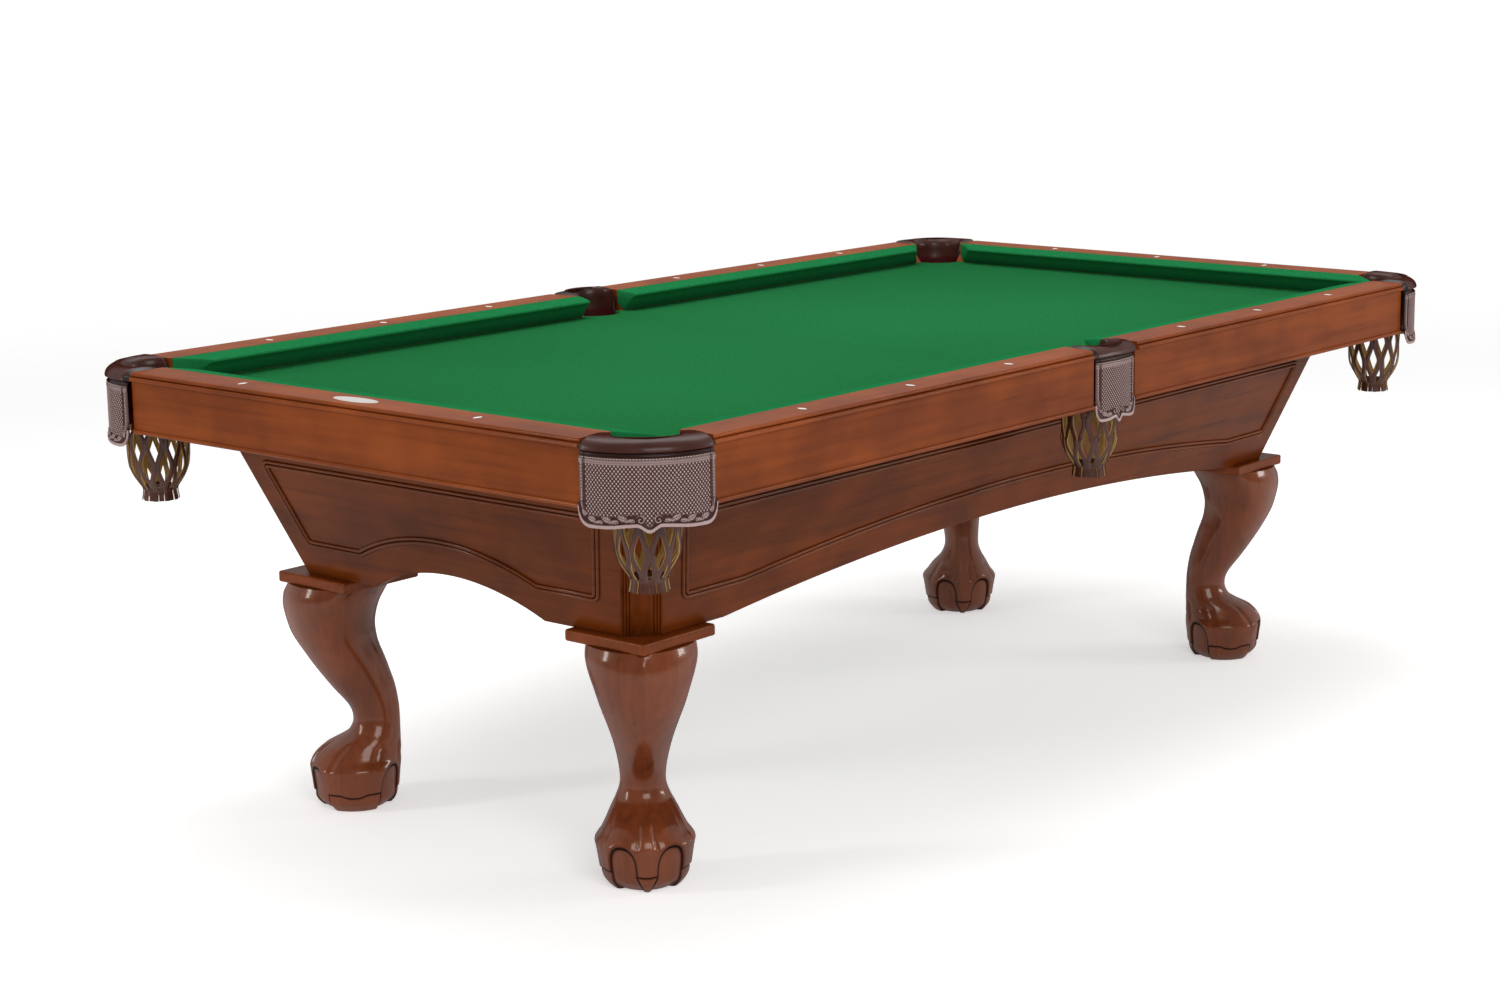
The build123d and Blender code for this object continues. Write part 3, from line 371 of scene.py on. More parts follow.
def timber(name, light, dark, turn=(0.0, 0.0, 0.0), carved=False, gloss=0.06, lacquer=0.02):
    """Lacquered timber. turn brings the grain's direction onto X; carved paints near-black shade into the
    cut lines and takes away their gloss.
    """
    material, tree, shader = blank_material(name)
    grain = place_group(
        tree, "timber", Vector=object_vector(tree, turn), Light=rgba(light), Dark=rgba(dark)
    )
    base = grain.outputs["Color"]
    gloss = head_on(tree, gloss)
    lacquer = head_on(tree, lacquer)
    if carved:
        # Painted shade: the carved attribute turns cut lines and bead grooves near black
        line = put(tree, "ShaderNodeAttribute", attribute_name="carved").outputs["Fac"]
        base = mix_colour(tree, line, base, (0.003, 0.0015, 0.001, 1.0))
        clear = math(tree, "SUBTRACT", 1.0, line)
        gloss = math(tree, "MULTIPLY", clear, gloss)
        lacquer = math(tree, "MULTIPLY", clear, lacquer)
    feed(tree, shader, Base_Color=base, Roughness=grain.outputs["Roughness"])
    feed(tree, shader, Normal=bump(tree, grain.outputs["Height"], 0.10, 0.0004))
    feed(tree, shader, Coat_Weight=lacquer, Coat_Roughness=0.10)
    feed(tree, shader, Specular_IOR_Level=gloss, Specular_Tint=(1.0, 0.70, 0.45, 1.0))
    return material


def leather(name, face, hollow, painted_highlight=None, gloss=0.10, level=0.14, grain=0.12):
    """Polished leather. With a painted highlight colour, the mesh's tooled attribute shades the tooling,
    darkest in its hollows and with a painted highlight on its crests.
    """
    material, tree, shader = blank_material(name)
    hide = place_group(
        tree, "leather", Vector=object_vector(tree), Face=rgba(face), Hollow=rgba(hollow)
    )
    base = hide.outputs["Color"]
    if painted_highlight is not None:
        # The tooled tone runs from the hollow colour up to a painted highlight on the crests
        tone = put(tree, "ShaderNodeAttribute", attribute_name="tooled").outputs["Fac"]
        base = mix_colour(tree, ramp(tree, tone, 0.0, 0.5), rgba(hollow), base)
        base = mix_colour(tree, ramp(tree, tone, 0.5, 1.0), base, rgba(painted_highlight))
    feed(tree, shader, Base_Color=base, Roughness=hide.outputs["Roughness"])
    feed(tree, shader, Normal=bump(tree, hide.outputs["Height"], grain, 0.0003))
    feed(tree, shader, Coat_Weight=head_on(tree, gloss, 0.78), Coat_Roughness=0.16)
    feed(tree, shader, Specular_IOR_Level=head_on(tree, level, 0.78))
    return material


def wool(name, shade):
    material, tree, shader = blank_material(name)
    cloth = place_group(tree, "cloth", Vector=object_vector(tree), Wool=rgba(shade))
    feed(tree, shader, Base_Color=cloth.outputs["Color"], Roughness=0.95)
    feed(tree, shader, Normal=bump(tree, cloth.outputs["Height"], 0.20, 0.0003))
    feed(tree, shader, Specular_IOR_Level=0.0, Sheen_Weight=0.02, Sheen_Tint=rgba(shade))
    return material


def mottled(name, shade, rough, metal=0.0, scale=60.0, spread=0.12, coat=0.0):
    """A plain finish with a little variation in tone and roughness."""
    material, tree, shader = blank_material(name)
    cloud = noise(tree, object_vector(tree), scale, 4.0)
    darker = tuple(value * (1.0 - 2.0 * spread) for value in shade)
    lighter = tuple(min(1.0, value * (1.0 + spread)) for value in shade)
    feed(tree, shader, Base_Color=mix_colour(tree, cloud, rgba(darker), rgba(lighter)))
    feed(tree, shader, Roughness=math(tree, "ADD", math(tree, "MULTIPLY", cloud, 0.12), rough))
    feed(tree, shader, Metallic=metal, Coat_Weight=coat)
    return material


def pearl(name, shade):
    material, tree, shader = blank_material(name)
    vector = object_vector(tree)
    swirl = noise(tree, stretch(tree, vector, (160.0, 160.0, 160.0)), 1.0, 3.0, 1.8)
    cool = tuple(value * f for value, f in zip(shade, (0.82, 0.90, 0.96)))
    feed(tree, shader, Base_Color=mix_colour(tree, ramp(tree, swirl, 0.35, 0.65), rgba(cool), rgba(shade)))
    feed(tree, shader, Roughness=0.22, Coat_Weight=0.8, Coat_Roughness=0.05)
    return material


finishes = {}
node_finishes = {
    "leg_plates": "plate",
    "leg_bolts": "steel",
    "corner_posts": "post",
    "bed_beams": "beam",
    "slate_screws": "steel",
    "bed_cloth": "bed_wool",
    "rail_bolts": "steel",
    "rail_sights": "pearl",
    "oval_plate": "plate_metal",
}
kind_finishes = {
    "leg": "leg",
    "leveller": "steel",
    "panel": "cabinet_long",
    "slate": "slate",
    "cushion": "cushion_wool",
    "pocket": "leather",
}


# Mesh building


def extend(bm, row, points, closed=False):
    """Extrudes a row of vertices by its edges and puts the new row at these points."""
    pairs = list(zip(row, row[1:] + row[:1])) if closed else list(zip(row, row[1:]))
    edges = [bm.edges.get(pair) for pair in pairs]
    drawn = bmesh.ops.extrude_edge_only(bm, edges=edges)["geom"]
    fresh = {v for v in drawn if isinstance(v, bmesh.types.BMVert)}
    new_row = [next(e.other_vert(v) for e in v.link_edges if e.other_vert(v) in fresh) for v in row]
    for vertex, point in zip(new_row, points):
        vertex.co = point
    return new_row


def first_row(bm, points, closed=False):
    """A chain of vertices joined by edges."""
    row = [bm.verts.new(point) for point in points]
    for pair in zip(row, row[1:] + row[:1]) if closed else zip(row, row[1:]):
        bm.edges.new(pair)
    return row


def loft(bm, rows, closed=False, capped=False):
    """Extrudes one row of points into the next, and closes both ends if asked."""
    rows = iter(rows)
    row = first_row(bm, next(rows), closed)
    ends_of_loft = [row]
    for points in rows:
        row = extend(bm, row, points, closed)
    ends_of_loft.append(row)
    if capped:
        for cap in ends_of_loft:
            bmesh.ops.contextual_create(bm, geom=cap)
    return ends_of_loft


def marked_loft(bm, rows, marks, layer, closed=False):
    """Extrudes rows of points one into the next and writes each row's marks; gives both end rows."""
    first = row = first_row(bm, rows[0], closed)
    for index, shares in enumerate(marks):
        if index:
            row = extend(bm, row, rows[index], closed)
        for vertex, share in zip(row, shares):
            vertex[layer] = share
    return first, row


def piece_from(bm, name, materials, nodes=(), angle=35.0, outward=True):
    """Makes a piece of a finished bmesh: it rides on the table and stands for these nodes."""
    if outward:
        bmesh.ops.recalc_face_normals(bm, faces=bm.faces[:])
    mesh = bpy.data.meshes.new(name)
    bm.to_mesh(mesh)
    bm.free()
    for material in materials:
        mesh.materials.append(material)
    mesh.polygons.foreach_set("use_smooth", [True] * len(mesh.polygons))
    mesh.set_sharp_from_angle(angle=radians(angle))
    piece = bpy.data.objects.new(name, mesh)
    bpy.context.scene.collection.objects.link(piece)
    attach(piece, "table")
    if nodes:
        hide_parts(*nodes)
    return piece


def step(low, high, value):
    share = min(1.0, max(0.0, (value - low) / (high - low)))
    return share * share * (3.0 - 2.0 * share)


def between(stations, height):
    """Smooth values at a height between given stations, the first of each being its height."""
    index = 0
    while index < len(stations) - 2 and height > stations[index + 1][0]:
        index += 1
    before = stations[max(index - 1, 0)]
    low = stations[index]
    high = stations[index + 1]
    after = stations[min(index + 2, len(stations) - 1)]
    run = high[0] - low[0]
    t = min(1.0, max(0.0, (height - low[0]) / run))
    values = []
    for column in range(1, len(low)):
        slope_low = (high[column] - before[column]) / (high[0] - before[0]) * run
        slope_high = (after[column] - low[column]) / (after[0] - low[0]) * run
        values.append(
            (2 * t**3 - 3 * t**2 + 1) * low[column]
            + (t**3 - 2 * t**2 + t) * slope_low
            + (3 * t**2 - 2 * t**3) * high[column]
            + (t**3 - t**2) * slope_high
        )
    return values


class TABLE_OT_mix_finishes(Operator):
    """Builds the shared node groups and every material, and dresses the CAD pieces that stay"""

    bl_idname = "table.mix_finishes"
    bl_label = "Mix finishes"

    def execute(self, context):
        shades = context.scene.table_colours
        groups["timber"] = build_timber_group()
        groups["leather"] = build_leather_group()
        groups["cloth"] = build_cloth_group()
        across = (0.0, 0.0, radians(90))
        upright = (0.0, radians(90), 0.0)
        rail = (shades.rail_light, shades.rail_dark)
        cabinet = (shades.cabinet_light, shades.cabinet_dark)
        hollows = shades.leather_deep
        finishes.update(
            rail_long=timber("rail_long", *rail, gloss=0.07, lacquer=0.10),
            rail_end=timber("rail_end", *rail, across, gloss=0.07, lacquer=0.10),
            cabinet_long=timber("cabinet_long", *cabinet, carved=True, lacquer=0.06),
            cabinet_end=timber("cabinet_end", *cabinet, across, True, lacquer=0.06),
            bead_long=timber("bead_long", *cabinet, carved=True, gloss=0.10, lacquer=0.16),
            bead_end=timber("bead_end", *cabinet, across, True, gloss=0.10, lacquer=0.16),
            post=timber("post", *cabinet, upright),
            plate=timber("plate", shades.plate_light, shades.plate_dark, gloss=0.08, lacquer=0.14),
            leg=timber("leg", shades.leg_light, shades.leg_dark, upright, True, gloss=0.18, lacquer=0.42),
            beam=timber("beam", shades.bare_light, shades.bare_dark, gloss=0.2, lacquer=0.0),
            leather=leather("leather", shades.leather, hollows, gloss=0.16),
            tooled=leather("tooled", shades.leather, hollows, shades.leather_painted_highlight),
            strap=leather("strap", shades.strap, hollows, gloss=0.35),
            # The ear finish is painted shade for the recessed ends of the rims
            ear=mottled("ear", shades.ear, 0.35, scale=200.0),
            liner=leather("liner", shades.liner, hollows, gloss=0.06),
            raw_edge=mottled("raw_edge", shades.raw_edge, 0.75, scale=300.0),
            bed_wool=wool("bed_wool", shades.bed_green),
            cushion_wool=wool("cushion_wool", shades.cushion_green),
            slate=mottled("slate", shades.slate, 0.55, scale=14.0, spread=0.2),
            pearl=pearl("pearl", shades.pearl),
            plate_metal=mottled("plate_metal", shades.plate_metal, 0.24, metal=1.0, scale=420.0),
            steel=mottled("steel", shades.steel, 0.30, metal=1.0, scale=200.0),
            thread=mottled("thread", shades.thread, 0.7, scale=900.0, spread=0.2),
        )
        for name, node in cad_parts.items():
            kind, place = name.split("_")[:2]
            if name in node_finishes:
                finish = node_finishes[name]
            elif kind in ("rail", "apron"):
                finish = "rail_end" if place in ends else "rail_long"
            else:
                finish = kind_finishes[kind]
            node.data.materials.clear()
            node.data.materials.append(finishes[finish])
        return {"FINISHED"}


# Height, outward reach, inward reach, half width and fullness (1 diamond, 2 ellipse) of a leg.
leg_stations = [
    (0.000, 0.064, -0.062, 0.060, 2.0),
    (0.006, 0.070, -0.067, 0.066, 2.0),
    (0.016, 0.076, -0.072, 0.073, 2.0),
    (0.030, 0.078, -0.074, 0.076, 2.0),
    (0.050, 0.080, -0.076, 0.079, 2.05),
    (0.068, 0.082, -0.078, 0.082, 2.1),
    (0.077, 0.083, -0.079, 0.0835, 2.1),
    (0.084, 0.081, -0.079, 0.0800, 2.05),
    (0.092, 0.077, -0.079, 0.0735, 2.0),
    (0.102, 0.069, -0.080, 0.0675, 2.0),
    (0.112, 0.057, -0.080, 0.0620, 1.95),
    (0.120, 0.041, -0.080, 0.0575, 1.95),
    (0.128, 0.025, -0.080, 0.0525, 1.95),
    (0.137, 0.012, -0.080, 0.0470, 1.95),
    (0.158, 0.003, -0.080, 0.0390, 1.95),
    (0.183, 0.009, -0.079, 0.0390, 1.9),
    (0.217, 0.036, -0.074, 0.0440, 1.85),
    (0.245, 0.057, -0.066, 0.0500, 1.80),
    (0.273, 0.076, -0.057, 0.0580, 1.76),
    (0.311, 0.098, -0.043, 0.0700, 1.72),
    (0.339, 0.108, -0.040, 0.0780, 1.70),
    (0.373, 0.115, -0.048, 0.0880, 1.70),
    (0.396, 0.113, -0.060, 0.0920, 1.70),
    (0.415, 0.107, -0.074, 0.0900, 1.70),
]
ball_turn = radians(32)
ball_half_turn = radians(18.5)
claw_taper = radians(9)
ball_line_top = 0.079
ball_line_bend = 0.034
ball_recess = 0.0050
ball_undercut = 0.0085
ball_fullness = 2.4
ball_edge = (-0.0035, 0.0005)
ball_margin = 0.012
nail_line = 0.028
nail_step = 0.0022
nail_step_run = 0.003
nail_bow = 9.0
nail_bow_reach = 0.024
carving_depth = 0.0032
carving_width = 0.0021
tendon_foot = 0.066
tendon_head = 0.128
tendon_half = 0.0115
tendon_spread = 0.0085
crease_depth = 0.0055
crease_width = 0.0040
side_crease_turn = radians(60)
side_crease_share = 0.4
side_crease_width = 0.0060
knee_ridge = 0.0030
knee_ridge_width = 0.0075
knee_foot = 0.28
knee_full = 0.33
knee_fade = 0.395
knee_top = 0.415
claw_pitch = 0.0012
claw_rows = 117
shin_rows = 60
leg_facets = 288
pad_gap = 0.001
pad_depth = 0.0066
stud_hole = 0.0056


def leg_point(angle, height):
    """A point of the leg's skin about its foot, and how much of a carved line it lies in, which is the
    share of painted near-black shade there.
    """
    outward, inward, wide, full = between(leg_stations, height)
    middle = (outward + inward) / 2
    deep = (outward - inward) / 2
    radius = ((abs(cos(angle)) / deep) ** full + (abs(sin(angle)) / wide) ** full) ** (-1 / full)
    spread = atan2(abs(sin(angle)), abs(cos(angle)))
    off_front = radius * sin(spread)
    line = 0.0
    if height > knee_foot:
        crown = step(knee_foot, knee_full, height) * step(knee_top, knee_fade, height)
        radius += knee_ridge * crown * exp(-((off_front / knee_ridge_width) ** 2))
    if tendon_foot < height < tendon_head:
        rise = (height - tendon_foot) / (tendon_head - tendon_foot)
        crease = off_front - tendon_half - tendon_spread * (1 - rise) ** 2
        fall = step(0.0, 0.30, rise) * step(1.0, 0.70, rise)
        width = crease_width * (1 + step(0.0, 0.01, crease))
        radius -= crease_depth * fall * exp(-((crease / width) ** 2))
        side_crease = radius * (spread - side_crease_turn)
        radius -= side_crease_share * crease_depth * fall * exp(-((side_crease / side_crease_width) ** 2))
    if height < ball_line_top + ball_margin:
        low = max(0.0, 1 - height / nail_line)
        half = ball_half_turn + (claw_taper * low if spread < ball_turn else 0.0)
        along = abs(spread - ball_turn) / half
        up = max(0.0, height - ball_line_bend) / (ball_line_top - ball_line_bend)
        edge = (along**ball_fullness + up**ball_fullness) ** (1 / ball_fullness) - 1
        reach = edge * radius * half
        line = exp(-((reach / carving_width) ** 2))
        radius -= (ball_recess + ball_undercut * low**2) * (1 - step(*ball_edge, reach))
        if edge > 0:
            off_toe = radius * min(spread, pi / 2 - spread)
            nail = nail_line + nail_bow * min(off_toe, nail_bow_reach) ** 2 - height
            line = max(line, exp(-((nail / carving_width) ** 2)))
            radius -= nail_step * step(0.0, nail_step_run, nail)
        radius -= carving_depth * line
    return middle + radius * cos(angle), radius * sin(angle), line


class TABLE_OT_carve_legs(Operator):
    """Carves the four claw-and-ball legs"""

    bl_idname = "table.carve_legs"
    bl_label = "Carve legs"

    def execute(self, context):
        claw_top = claw_pitch * claw_rows
        heights = [claw_pitch * k for k in range(claw_rows)]
        heights += [claw_top + (leg_top - claw_top) * k / shin_rows for k in range(1, shin_rows + 1)]
        angles = [2 * pi * (k + 0.5) / leg_facets for k in range(leg_facets)]
        low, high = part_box("leveller_back_right")
        pad = (high.x - low.x) / 2 + pad_gap
        recess = [(0.0, pad), (pad_depth, pad), (pad_depth, stud_hole), (high.z + pad_gap, stud_hole)]
        for name, (sx, sy) in corners.items():
            place = Vector((sx * leg_x, sy * leg_y, 0))
            out = Vector((sx, sy, 0)).normalized()
            tangent = Vector((-out.y, out.x, 0))
            bm = bmesh.new()
            # The carved attribute holds painted shade in the cut lines of the claw
            carved = bm.verts.layers.float.new("carved")
            rows = []
            lines = []
            for z in heights:
                points = [leg_point(a, z) for a in angles]
                rows.append([place + out * u + tangent * v + Vector((0, 0, z)) for u, v, _ in points])
                lines.append([line for _, _, line in points])
            sole, row = marked_loft(bm, rows, lines, carved, closed=True)
            bmesh.ops.contextual_create(bm, geom=row)
            row = sole
            for z, reach in recess:
                ring = [
                    place + out * reach * cos(a) + tangent * reach * sin(a) + Vector((0, 0, z))
                    for a in angles
                ]
                row = extend(bm, row, ring, closed=True)
            bmesh.ops.contextual_create(bm, geom=row)
            piece_from(bm, f"claw_leg_{name}", [finishes["leg"]], [f"leg_{name}"], angle=70)
        return {"FINISHED"}


# Cabinet boards and their double beads
cabinet_rake = radians(19.2)
board_wall = 0.022
board_ease = 0.0025
post_face = 0.068
post_leg = post_face / sqrt(2)
arch_rise = 0.052
frame_bottom_lift = 0.063
frame_top_drop = 0.062
frame_side_margin = 0.052
frame_arch_rise = 0.049
# Level stretch at each end of a board's arched edge, and of its frame's arched side
long_flats = (0.151, 0.145)
end_flats = (0.171, 0.133)
bead_spacing = 1.15
bead_root = -0.0006


def arch(half, rise, count):
    """Points of a shallow arch from -half to half, as (along, up)."""
    radius = (half**2 + rise**2) / (2 * rise)
    reach = 2 * atan2(rise, half)
    turns = [reach * (2 * k / count - 1) for k in range(count + 1)]
    return [(radius * sin(turn), rise - radius * (1 - cos(turn))) for turn in turns]


def bead_profile(radius):
    """Section of two half-round beads side by side, as (across, proud)."""
    points = []
    for middle in (-bead_spacing * radius, bead_spacing * radius):
        for k in range(9):
            turn = pi * (1 - k / 8)
            points.append((middle + radius * cos(turn), radius * sin(turn)))
    return [(points[0][0], bead_root), *points, (points[-1][0], bead_root)]


# Painted shade at each point of the bead section, darkest in the grooves beside the beads
groove_painted_shade = [0.95, 0.8, 0.25, *[0.0] * 5, 0.25, 0.8, 0.8, 0.25, *[0.0] * 5, 0.25, 0.8, 0.95]


def eased(before, corner, after, reach=0.011, count=6):
    """A corner of a plane path rounded off over this reach."""
    corner = Vector(corner)
    start = corner + (Vector(before) - corner).normalized() * reach
    end = corner + (Vector(after) - corner).normalized() * reach
    shares = [k / count for k in range(count + 1)]
    return [start.lerp(corner, t).lerp(corner.lerp(end, t), t) for t in shares]


def mitred_rows(path, section, to_world):
    """Rows of a section swept round a closed plane path, its corners mitred."""
    rows = []
    for before, here, after in zip(path[-1:] + path[:-1], path, path[1:] + path[:1]):
        arrive = (Vector(here) - Vector(before)).normalized()
        leave = (Vector(after) - Vector(here)).normalized()
        first = Vector((-arrive.y, arrive.x))
        second = Vector((-leave.y, leave.x))
        mitre = (first + second) / (1 + first.dot(second))
        rows.append([to_world(Vector(here) + mitre * across, proud) for across, proud in section])
    return rows + rows[:1]


class TABLE_OT_frame_cabinet(Operator):
    """Makes the raked cabinet boards with their arched edges and double-bead frames"""

    bl_idname = "table.frame_cabinet"
    bl_label = "Frame cabinet"

    def execute(self, context):
        radius = context.scene.table_sizes.bead_radius
        top_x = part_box("corner_posts")[1].x
        top_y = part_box("corner_posts")[1].y
        for name, hand in (("front", -1), ("back", 1)):
            self.make_board(name, Vector((0, hand, 0)), top_x, top_y, *long_flats, radius)
        for name, hand in ends.items():
            self.make_board(name, Vector((hand, 0, 0)), top_y, top_x, *end_flats, radius)
        return {"FINISHED"}

    def make_board(self, name, out, half_run, half_out, arch_flat, frame_flat, radius):
        """One raked board that faces out, with its arched lower edge and its double-bead frame."""
        slope = tan(cabinet_rake)
        rise = panel_top - plate_top
        along = Vector((-out.y, out.x, 0))
        normal = out * cos(cabinet_rake) - Vector((0, 0, sin(cabinet_rake)))
        low_out = half_out - slope * rise
        high_end = half_run - post_leg
        low_end = high_end - slope * rise

        def on_board(point, proud):
            up = point[1] * cos(cabinet_rake)
            level = Vector((0, 0, plate_top + up))
            return along * point[0] + out * (low_out + slope * up) + level + normal * proud

        def on_slope(x, z):
            return (x, (z - plate_top) / cos(cabinet_rake))

        outline = [on_slope(x, plate_top + z) for x, z in arch(low_end - arch_flat, arch_rise, 64)]
        outline += [on_slope(low_end, plate_top), on_slope(high_end, panel_top)]
        outline += [on_slope(-high_end, panel_top), on_slope(-low_end, plate_top)]
        bm = bmesh.new()
        carved = bm.verts.layers.float.new("carved")
        face = bm.faces.new([bm.verts.new(on_board(point, 0)) for point in outline])
        rim_edges = [e for e in face.edges if max(v.co.z for v in e.verts) < panel_top - 0.1]
        drawn = bmesh.ops.extrude_face_region(bm, geom=[face])["geom"]
        inner = [v for v in drawn if isinstance(v, bmesh.types.BMVert)]
        bmesh.ops.translate(bm, verts=inner, vec=-out * board_wall / cos(cabinet_rake))
        bmesh.ops.bevel(
            bm,
            geom=rim_edges,
            offset=board_ease,
            segments=3,
            profile=0.5,
            affect="EDGES",
            material=-1,
        )
        frame_low = low_end - frame_side_margin + slope * frame_bottom_lift
        frame_base = plate_top + frame_bottom_lift
        frame_head = apron_bottom - frame_top_drop
        frame_high = low_end - frame_side_margin + slope * (frame_head - plate_top)
        path = [
            on_slope(x, frame_base + z) for x, z in arch(frame_low - frame_flat, frame_arch_rise, 48)
        ]
        turns = [on_slope(frame_low, frame_base), on_slope(frame_high, frame_head)]
        turns += [on_slope(-frame_high, frame_head), on_slope(-frame_low, frame_base)]
        stops = [path[-1], *turns, path[0]]
        for before, corner, after in zip(stops, stops[1:], stops[2:]):
            path += eased(before, corner, after)
        flat = set(bm.faces)
        rows = mitred_rows(path, bead_profile(radius), on_board)
        # The bead rows carry painted shade in the grooves beside the beads
        marked_loft(bm, rows, [groove_painted_shade] * len(rows), carved)
        for face in bm.faces:
            face.material_index = 0 if face in flat else 1
        bmesh.ops.remove_doubles(bm, verts=bm.verts[:], dist=0.00002)
        run = "long" if out.y else "end"
        materials = [finishes[f"cabinet_{run}"], finishes[f"bead_{run}"]]
        piece_from(bm, f"board_{name}", materials, [f"panel_{name}"], angle=50)


# Cloth
slate_hole_gap = 0.0025
cloth_hole_gap = 0.0004
cloth_drop = 0.024
# Drop and inward pull of the cloth where it turns down into a pocket
cloth_turn = ((0.0012, 0.0016), (0.0035, 0.0024), (cloth_drop, 0.0026))
cloth_arc_steps = 24


class TABLE_OT_stretch_cloth(Operator):
    """Stretches the bed cloth over the slate and down into the pockets"""

    bl_idname = "table.stretch_cloth"
    bl_label = "Stretch cloth"

    def execute(self, context):
        wall = context.scene.table_sizes.hole_wall
        bm = bmesh.new()
        outline = []

        def arc(px, py, radius, start, end):
            for k in range(cloth_arc_steps + 1):
                turn = start + (end - start) * k / cloth_arc_steps
                outline.append(Vector((px + radius * cos(turn), py + radius * sin(turn), bed_top)))

        reach = corner_hole + wall + slate_hole_gap - cloth_hole_gap
        near = atan2(slate_y - corner_y, -sqrt(reach**2 - (slate_y - corner_y) ** 2))
        far = atan2(-sqrt(reach**2 - (slate_x - corner_x) ** 2), slate_x - corner_x) + 2 * pi
        side_reach = side_hole + wall + slate_hole_gap - cloth_hole_gap
        side_turn = atan2(slate_y - side_y, sqrt(side_reach**2 - (slate_y - side_y) ** 2))
        # Anticlockwise from the right end of the back edge
        arc(corner_x, corner_y, reach, far, near)
        arc(0, side_y, side_reach, side_turn, -pi - side_turn)
        arc(-corner_x, corner_y, reach, pi - near, pi - far)
        arc(-corner_x, -corner_y, reach, far - pi, near - pi)
        arc(0, -side_y, side_reach, side_turn + pi, -side_turn)
        arc(corner_x, -corner_y, reach, -near + 2 * pi, -far + 2 * pi)
        row = [bm.verts.new(point) for point in outline]
        face = bm.faces.new(row)
        count = cloth_arc_steps + 1
        for pocket, (px, py) in enumerate(cloth_pockets()):
            lip = row[pocket * count:(pocket + 1) * count]
            edge = [v.co.copy() for v in lip]
            for drop, pull in cloth_turn:
                turned = [
                    p + (Vector((px, py, p.z)) - p).normalized() * pull - Vector((0, 0, drop))
                    for p in edge
                ]
                lip = extend(bm, lip, turned)
        bmesh.ops.triangulate(bm, faces=[face])
        cloth_area = sum(f.calc_area() for f in bm.faces)
        piece = piece_from(
            bm, "bed_wool", [finishes["bed_wool"]], ["bed_cloth"], angle=60
        )
        return {"FINISHED"}


def cloth_pockets():
    """Pocket centres in the order of the bed cloth's outline."""
    return [
        (corner_x, corner_y),
        (0, side_y),
        (-corner_x, corner_y),
        (-corner_x, -corner_y),
        (0, -side_y),
        (corner_x, -corner_y),
    ]


corner_jaw = radians(142)
side_jaw = radians(104)
nose_drop = 0.005
cushion_steps = 24
# Distance from a cushion's end and how far its section is drawn in there
jaw_round = [(0.0, 0.0024), (0.0008, 0.0011), (0.0024, 0.0002), (0.0040, 0.0)]


def cushion_section(radius):
    """Section of a cushion as (out from the nose, height), clockwise from its top back edge."""
    width = cushion_back_x - nose_x
    nose = rail_top - nose_drop
    points = [(width, rail_top - 0.0004), (width - 0.002, rail_top)]
    points += [(width * 0.66, rail_top - nose_drop * 0.20), (width * 0.33, rail_top - nose_drop * 0.52)]
    for k in range(7):
        turn = radians(84) + radians(176) * k / 6
        points.append((radius + radius * cos(turn), nose - radius + radius * sin(turn)))
    points += [(0.014, bed_top + 0.0195), (0.0300, bed_top + 0.0010), (0.0315, bed_top + 0.0004)]
    points += [(0.0318, bed_top + 0.0015), (0.0345, cushion_low + 0.0012)]
    points += [(width - 0.0006, bed_top + 0.0155)]
    return points


class TABLE_OT_cover_cushions(Operator):
    """Covers the six cushions in cloth"""

    bl_idname = "table.cover_cushions"
    bl_label = "Cover cushions"

    def execute(self, context):
        section = cushion_section(context.scene.table_sizes.nose_radius)
        width = cushion_back_x - nose_x
        corner_run = 1 / tan(pi - corner_jaw)
        side_run = tan(side_jaw - pi / 2)
        corner_back_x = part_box("cushion_back_right")[1].x
        corner_back_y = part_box("cushion_right")[1].y
        side_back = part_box("cushion_back_right")[0].x
        spans = {}
        for name, (sx, sy) in corners.items():
            along, out = Vector((sx, 0, 0)), Vector((0, sy, 0))
            spans[name] = (along, out, nose_y, side_back, side_run, corner_back_x)
        for name, sx in ends.items():
            along, out = Vector((0, 1, 0)), Vector((sx, 0, 0))
            spans[name] = (along, out, nose_x, -corner_back_y, -corner_run, corner_back_y)
        middle = sum((Vector(p) for p in section), Vector((0, 0))) / len(section)
        for name, (along, out, nose, start_back, start_run, end_back) in spans.items():
            rows = []
            stations = [(0, inset, gap) for gap, inset in jaw_round]
            stations += [(k / cushion_steps, 0.0, 0.0) for k in range(1, cushion_steps)]
            stations += [(1, inset, -gap) for gap, inset in reversed(jaw_round)]
            for share, inset, gap in stations:
                points = []
                for point in section:
                    pull = (middle - Vector(point)).normalized() * inset
                    u, z = point[0] + pull.x, point[1] + pull.y
                    first = start_back + start_run * (width - u)
                    last = end_back - corner_run * (width - u)
                    run = first + (last - first) * share + gap
                    points.append(along * run + out * (nose + u) + Vector((0, 0, z)))
                rows.append(points)
            bm = bmesh.new()
            loft(bm, rows, closed=True, capped=True)
            piece = piece_from(
                bm,
                f"cushion_wool_{name}",
                [finishes["cushion_wool"]],
                [f"cushion_{name}"],
                angle=50,
            )
        return {"FINISHED"}


# Pockets
ear_gap = 0.0022
liner_break = 0.7415
side_rim_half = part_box("pocket_rim_back_middle")[1].x
ear_inset = 0.009
ear_pinch = (0.0060, 0.0055, 0.0012)
ear_shoulder = 0.012
cushion_gap = 0.0005
ear_foot = cushion_back_y + cushion_gap
roll_reach = 0.0260
roll_drop = 0.0190
lining_gap = 0.0005
lining_reach = 0.0048
lining_drop = 0.012
rim_rows_count = 72


